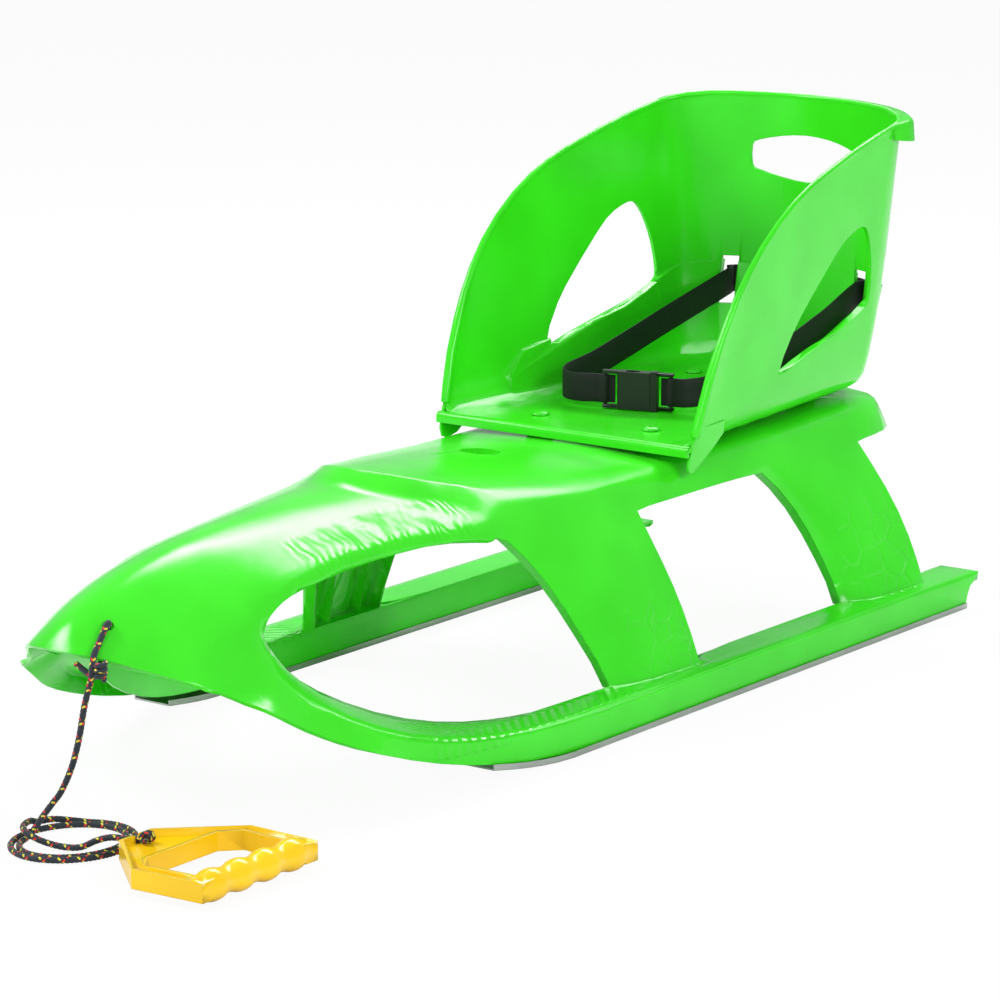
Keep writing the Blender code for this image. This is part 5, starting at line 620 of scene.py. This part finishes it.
def strap_ribbon(name, path, width=WEB_WIDTH):
    """A strap with rounded edges, its width upright, mapped in millimetres."""
    profile = ((-0.5, -0.18), (-0.485, -0.5), (-0.25, -0.54), (0.0, -0.56), (0.25, -0.54),
               (0.485, -0.5), (0.5, -0.18), (0.5, 0.18), (0.485, 0.5), (0.25, 0.54),
               (0.0, 0.56), (-0.25, 0.54), (-0.485, 0.5), (-0.5, 0.18))
    count = len(profile)
    points, faces, uv = [], [], []
    places = []
    travelled = 0.0
    for i, point in enumerate(path):
        way = (path[min(i + 1, len(path) - 1)] - path[max(i - 1, 0)]).normalized()
        up = Vector((0.0, 0.0, 1.0))
        up = (up - way * up.dot(way)).normalized()
        side = way.cross(up)
        if i:
            travelled += (point - path[i - 1]).length
        for w, t in profile:
            points.append(point + up * (w * width) + side * (t * WEB_THICK))
            places.append((1000.0 * travelled, 1000.0 * w * width))
    for i in range(len(path) - 1):
        for k in range(count):
            m = (k + 1) % count
            a = count * i
            corners = (a + k, a + count + k, a + count + m, a + m)
            faces.append(corners)
            uv.extend(places[c] for c in corners)
    last = count * (len(path) - 1)
    for ring in (tuple(range(count)), tuple(reversed(range(last, last + count)))):
        faces.append(ring)
        uv.extend(places[c] for c in ring)
    mesh = bpy.data.meshes.new(name)
    mesh.from_pydata([tuple(p) for p in points], [], faces)
    layer = mesh.uv_layers.new(name="weave")
    for loop, value in zip(layer.data, uv):
        loop.uv = value
    for polygon in mesh.polygons:
        polygon.use_smooth = True
    piece = add_object(name, mesh)
    make_active(piece)
    bpy.ops.object.shade_smooth_by_angle(angle=math.radians(50.0))
    return piece


def buckle_point(u, v=0.0, w=0.0):
    """A point given along, across and up the buckle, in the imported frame."""
    turn = Matrix.Rotation(BUCKLE_TURN, 4, "Z")
    return BUCKLE_CENTRE + turn @ Vector((u, v, w)) - DRAWING


def strap_path(bar_at, route, stop_node):
    """A strap's middle line: end of the lap, round the bar, along the seat, into the slot."""
    way = 1.0 if bar_at > 0.0 else -1.0
    low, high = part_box(stop_node)
    stop = 0.5 * (low + high)
    side = 1.0 if stop.x > 0.0 else -1.0
    out = Vector((side * SLOT_OUT[0], SLOT_OUT[1], 0.0)).normalized()
    chosen = [buckle_point(bar_at + way * 0.0050), buckle_point(bar_at + way * 0.0120)]
    chosen += [drawn(p) for p in route]
    chosen += [stop - out * 0.0085, stop - out * 0.0030]
    main = smooth_run(chosen, 0.0030)
    half = 0.5 * WEB_THICK + 0.0001
    up = Vector((0.0, 0.0, 1.0))

    def beside(points, sign, fade):
        moved = []
        travelled = 0.0
        for i, point in enumerate(points):
            step = points[min(i + 1, len(points) - 1)] - points[max(i - 1, 0)]
            if i:
                travelled += (point - points[i - 1]).length
            share = 1.0
            if fade:
                share = min(1.0, max(0.0, 1.0 - (travelled - LAP_LENGTH) / LAP_FADE))
            moved.append(point + step.cross(up).normalized() * (sign * half * share))
        return moved

    lap = [p for p in main if (p - main[0]).length < LAP_LENGTH]
    back = list(reversed(beside(lap, -1.0, False)))
    ring = BAR_RADIUS + 0.0003 + 0.5 * WEB_THICK
    centre = buckle_point(bar_at)
    along = (main[0] - centre).normalized()
    left = along.cross(up)
    arc = []
    for degrees in (-55, -85, -120, -150, -180, -210, -240, -275, -305):
        turn = math.radians(degrees)
        arc.append(centre + along * (ring * math.cos(turn)) + left * (ring * math.sin(turn)))
    forth = beside(main, 1.0, True)
    return smooth_run(back + arc + forth, STRAP_PITCH)


def stud(name, profile, centre, sides):
    """Turn a (radius, height) profile about a vertical axis with the spin tool."""
    mesh = bpy.data.meshes.new(name)
    edges = [(i, i + 1) for i in range(len(profile) - 1)]
    mesh.from_pydata([(r, 0.0, z) for r, z in profile], edges, [])
    piece = add_object(name, mesh)
    make_active(piece)
    bpy.ops.object.mode_set(mode="EDIT")
    bpy.ops.mesh.select_all(action="SELECT")
    bpy.ops.mesh.spin(steps=sides, angle=2.0 * math.pi, center=(0.0, 0.0, 0.0),
                      axis=(0.0, 0.0, 1.0))
    bpy.ops.mesh.remove_doubles(threshold=0.00001)
    bpy.ops.mesh.normals_make_consistent(inside=False)
    bpy.ops.object.mode_set(mode="OBJECT")
    piece.data.transform(Matrix.Translation(centre))
    bpy.ops.object.shade_smooth_by_angle(angle=math.radians(35.0))
    return piece


def back_run():
    """Middle line of the webbing from slot to slot behind the bowed back of the seat."""
    half = [Vector((x, SEAT_REAR_Y - SEAT_BOW * x * x + off, SLOT_MIDDLE_Z))
            for x, off in BACK_RUN]
    other = [Vector((-p.x, p.y, p.z)) for p in reversed(half[:-1])]
    return smooth_run(half + other, STRAP_PITCH)


class SLED_OT_camera(bpy.types.Operator):
    """Set the camera where the photograph was taken"""
    bl_idname = "sled.camera"
    bl_label = "Camera"

    def execute(self, context):
        level = math.cos(CAMERA_ABOVE)
        back = Vector((math.sin(CAMERA_AROUND) * level, -math.cos(CAMERA_AROUND) * level,
                       math.sin(CAMERA_ABOVE)))
        right = Vector((math.cos(CAMERA_AROUND), math.sin(CAMERA_AROUND), 0.0))
        up = back.cross(right)
        lens = bpy.data.cameras.new("camera")
        lens.lens = CAMERA_LENS
        lens.sensor_width = SENSOR_WIDTH
        lens.clip_start = 0.1
        lens.clip_end = 60.0
        camera = add_object("camera", lens)
        place = Matrix((right, up, back)).transposed().to_4x4()
        place.translation = drawn(CAMERA_PLACE)
        camera.matrix_world = place
        context.scene.camera = camera
        return {"FINISHED"}


class SLED_OT_stage(bpy.types.Operator):
    """Lay the pale floor and hang the soft lamps"""
    bl_idname = "sled.stage"
    bl_label = "Floor and Lamps"

    def execute(self, context):
        scene = context.scene
        scene.view_settings.view_transform = "Standard"
        deselect()
        bpy.ops.mesh.primitive_plane_add(size=FLOOR_SIZE)
        floor = context.active_object
        floor.name = "floor"
        floor.data.transform(Matrix.Translation((0.0, 0.0, -FLOOR_DROP)))
        # Matt white paper: the eye sees it white, and it keeps a light shadow under the sled
        paper, tree, output = new_material("white_paper_floor")
        matt = add_node(tree, "ShaderNodeBsdfDiffuse", Color=(0.80, 0.80, 0.80, 1.0))
        glow = add_node(tree, "ShaderNodeEmission", Strength=1.0)
        rays = add_node(tree, "ShaderNodeLightPath")
        seen = reckon(tree, "MAXIMUM", rays.outputs["Is Camera Ray"],
                      rays.outputs["Is Transmission Ray"])
        mix = add_node(tree, "ShaderNodeMixShader")
        tree.links.new(reckon(tree, "MULTIPLY", seen, FLOOR_GLOW), mix.inputs["Fac"])
        tree.links.new(matt.outputs["BSDF"], mix.inputs[1])
        tree.links.new(glow.outputs["Emission"], mix.inputs[2])
        tree.links.new(mix.outputs["Shader"], output.inputs["Surface"])
        dress(floor, paper)

        world = bpy.data.worlds.new("studio")
        world.use_nodes = True
        tree = world.node_tree
        tree.nodes.clear()
        sky = tree.nodes.new("ShaderNodeOutputWorld")
        dim = add_node(tree, "ShaderNodeBackground", Strength=SKY_LIGHT)
        white = add_node(tree, "ShaderNodeBackground", Strength=1.0)
        dim.inputs["Color"].default_value = (0.93, 0.96, 1.0, 1.0)
        white.inputs["Color"].default_value = (1.0, 1.0, 1.0, 1.0)
        rays = add_node(tree, "ShaderNodeLightPath")
        both = add_node(tree, "ShaderNodeMixShader")
        tree.links.new(reckon(tree, "MAXIMUM", rays.outputs["Is Camera Ray"],
                              rays.outputs["Is Transmission Ray"]), both.inputs["Fac"])
        tree.links.new(dim.outputs["Background"], both.inputs[1])
        tree.links.new(white.outputs["Background"], both.inputs[2])
        tree.links.new(both.outputs["Shader"], sky.inputs["Surface"])
        scene.world = world

        for name, place, aim, size, power in LAMPS:
            lamp = bpy.data.lights.new(name, "AREA")
            lamp.shape = "RECTANGLE"
            lamp.size, lamp.size_y = size
            lamp.energy = power
            holder = add_object(name, lamp)
            aimed = (Vector(aim) - Vector(place)).to_track_quat("-Z", "Y").to_matrix().to_4x4()
            aimed.translation = Vector(place)
            holder.matrix_world = aimed
        return {"FINISHED"}


class SLED_OT_shell(bpy.types.Operator):
    """Dress the moulded sled and its seat"""
    bl_idname = "sled.shell"
    bl_label = "Sled and Seat"

    def execute(self, context):
        colours = context.scene.sled_colours
        sizes = context.scene.sled_sizes
        for node, name, relief in (("sled_body", "sled_moulding", True),
                                   ("seat_shell", "seat_moulding", False)):
            plastic = moulded_polypropylene("polypropylene_green_" + name, colours.shell,
                                            sizes.edge_round, sizes.grain, relief)
            piece = dress(merged_copy(node, name), plastic)
            settle(piece, node)
        return {"FINISHED"}


class SLED_OT_runners(bpy.types.Operator):
    """Dress the steel strips and all the screws, bolts and nuts"""
    bl_idname = "sled.runners"
    bl_label = "Runner Strips and Fasteners"

    def execute(self, context):
        steel = rolled_steel("steel_strip_cold_rolled")
        zinc = zinc_plate("steel_zinc_plated")
        lacquer = lacquered_steel("steel_lacquered_green", context.scene.sled_colours.shell)
        for name, node in NODES.items():
            if name.startswith("runner_strip"):
                dress(node, steel)
            elif name.startswith(("strip_screw", "seat_washer", "seat_wing_nut")):
                dress(node, zinc)
        for name in [n for n in NODES if n.startswith("seat_bolt")]:
            low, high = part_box(name)
            middle = 0.5 * (low + high)
            head = high.z - BOLT_HEAD_HIGH
            shape = [(0.0, low.z), (BOLT_SHANK - 0.0004, low.z), (BOLT_SHANK, low.z + 0.0005),
                     (BOLT_SHANK, head)]
            shape += [(radius, head + rise) for radius, rise in BOLT_HEAD]
            bolt = stud(name.replace("seat_bolt", "bolt"), shape,
                        Vector((middle.x, middle.y, 0.0)), 28)
            dress(bolt, lacquer)
            settle(bolt, name)
        return {"FINISHED"}


class SLED_OT_belt(bpy.types.Operator):
    """Sew the lap belt with its run behind the seat and dress its buckle"""
    bl_idname = "sled.belt"
    bl_label = "Lap Belt"

    def execute(self, context):
        colours = context.scene.sled_colours
        webbing = woven_webbing("polypropylene_webbing_woven", colours.webbing)
        acetal = moulded_acetal("acetal_moulded_black", colours.buckle)
        for name, bar, route, stop, node in (
                ("lap_strap_left", PLUG_BAR, NEAR_ROUTE, "belt_stop_left", "belt_strap_left"),
                ("lap_strap_right", SOCKET_BAR, FAR_ROUTE, "belt_stop_right",
                 "belt_strap_right")):
            path = strap_path(bar, route, stop)
            strap = dress(strap_ribbon(name, path), webbing)
            settle(strap, node)
        # The sewn fold that fills each loop between the buckle's bar and its body
        for name, bar, body in (("lap_fold_left", PLUG_BAR, "belt_plug"),
                                ("lap_fold_right", SOCKET_BAR, "sled")):
            way = 1.0 if bar > 0.0 else -1.0
            path = [buckle_point(bar - way * FOLD_REACH * k / 6.0) for k in range(7)]
            fold = dress(strap_ribbon(name, path, WEB_WIDTH - FOLD_TRIM), webbing)
            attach(fold, body)
        path = back_run()
        strap = dress(strap_ribbon("lap_strap_back", path), webbing)
        settle(strap, ("belt_stop_left", "belt_stop_right"))
        for node, name, body in (
                ("buckle_socket", "socket_moulding", "sled"),
                ("buckle_plug", "plug_moulding", "belt_plug"),
                ("buckle_latch", "latch_moulding", "belt_plug")):
            piece = dress(merged_copy(node, name, 28.0), acetal)
            settle(piece, node, body)
        return {"FINISHED"}


class SLED_OT_rope(bpy.types.Operator):
    """Braid the tow rope, its nose loop and its knots, and dress the handle"""
    bl_idname = "sled.rope"
    bl_label = "Tow Rope and Handle"

    def execute(self, context):
        colours = context.scene.sled_colours
        diameter = context.scene.sled_sizes.rope_diameter
        radius = 0.5 * diameter
        yarn = braided_rope("rope_braided_flecked", colours.rope)

        fall = [drawn(ROPE_STUB)] + [drawn(p) for p in ROPE_FALL]
        turns = []
        steps = int(round(COIL_TURNS * 24))
        for i in range(steps + 1):
            turn = i / 24.0
            angle = COIL_START + 2.0 * math.pi * turn
            # The last eighth of a turn climbs over the one below it
            rise = max(0.0, (turn - COIL_TURNS + 0.12) / 0.12)
            turns.append(drawn((
                COIL_CENTRE[0] + (COIL_HALVES[0] + COIL_GROWTH * turn) * math.cos(angle),
                COIL_CENTRE[1] + (COIL_HALVES[1] + COIL_GROWTH * turn) * math.sin(angle),
                0.0003 + radius + 0.0045 * rise * rise * (3.0 - 2.0 * rise))))
        leaving = [drawn(p) for p in COIL_EXIT]
        path = smooth_run(fall + turns + leaving, ROPE_PITCH)
        rope = dress(braid("tow_rope_braid", path, radius), yarn)

        loop = smooth_run([drawn(p) for p in (ROPE_STUB,) + ROPE_OUTSIDE + ROPE_INSIDE],
                          ROPE_PITCH)
        tail = smooth_run([drawn(p) for p in ROPE_TAIL], ROPE_PITCH)
        knot = even(smooth_run(wraps(drawn(KNOT_CENTRE), (0.10, 0.0, 1.0), 0.0037,
                                     0.0042, 3.2), ROPE_PITCH), ROPE_PITCH)
        nose = [braid("nose_loop", loop, radius), braid("nose_tail", tail, 0.96 * radius),
                braid("nose_knot", knot, 0.78 * radius)]
        for piece in nose:
            dress(piece, yarn)
            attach(piece, "sled")
        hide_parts("tow_rope_knot")

        entry = drawn(COIL_EXIT[-1])
        inside = smooth_run([entry, entry + Vector((0.0055, 0.0, 0.0)),
                             drawn((0.0985, -0.5320, 0.0180)),
                             drawn((0.1035, -0.5320, 0.0194))], ROPE_PITCH)
        ball = even(smooth_run(wraps(drawn(HANDLE_KNOT), (0.0, 1.0, 0.0), 0.0030,
                                     0.0042, 2.4), ROPE_PITCH), ROPE_PITCH)
        ends = [braid("handle_end", inside, radius), braid("handle_knot", ball, 0.78 * radius)]
        for piece in ends:
            dress(piece, yarn)
            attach(piece, "sled")
        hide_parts("tow_handle_knot")

        grip = moulded_polypropylene("polypropylene_moulded_yellow", colours.grip, 0.0012,
                                     0.00004)
        handle = dress(merged_copy("tow_handle", "handle_moulding", 32.0), grip)
        settle(handle, "tow_handle")
        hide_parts("tow_rope", "tow_rope_coil")
        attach(rope, "sled")
        return {"FINISHED"}


STEPS = (SLED_OT_camera, SLED_OT_stage, SLED_OT_rope, SLED_OT_shell, SLED_OT_runners,
         SLED_OT_belt)


class SLED_PT_panel(bpy.types.Panel):
    """Lists the sled's steps, colours and sizes"""
    bl_idname = "SLED_PT_panel"
    bl_label = "Snow Sled"
    bl_space_type = "VIEW_3D"
    bl_region_type = "UI"
    bl_category = "Sled"

    def draw(self, context):
        for group in (context.scene.sled_colours, context.scene.sled_sizes):
            box = self.layout.box()
            for key in group.__annotations__:
                box.prop(group, key)
        for step in STEPS:
            self.layout.operator(step.bl_idname)


CLASSES = (SledColours, SledSizes, *STEPS, SLED_PT_panel)


def register():
    for item in CLASSES:
        bpy.utils.register_class(item)
    bpy.types.Scene.sled_colours = bpy.props.PointerProperty(type=SledColours)
    bpy.types.Scene.sled_sizes = bpy.props.PointerProperty(type=SledSizes)


def unregister():
    del bpy.types.Scene.sled_sizes
    del bpy.types.Scene.sled_colours
    for item in reversed(CLASSES):
        bpy.utils.unregister_class(item)


def main():
    """Register the steps and run every step in order."""
    register()
    bpy.ops.sled.camera()
    bpy.ops.sled.stage()
    bpy.ops.sled.rope()
    bpy.ops.sled.shell()
    bpy.ops.sled.runners()
    bpy.ops.sled.belt()
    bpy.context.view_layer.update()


if __name__ == "__main__":
    main()
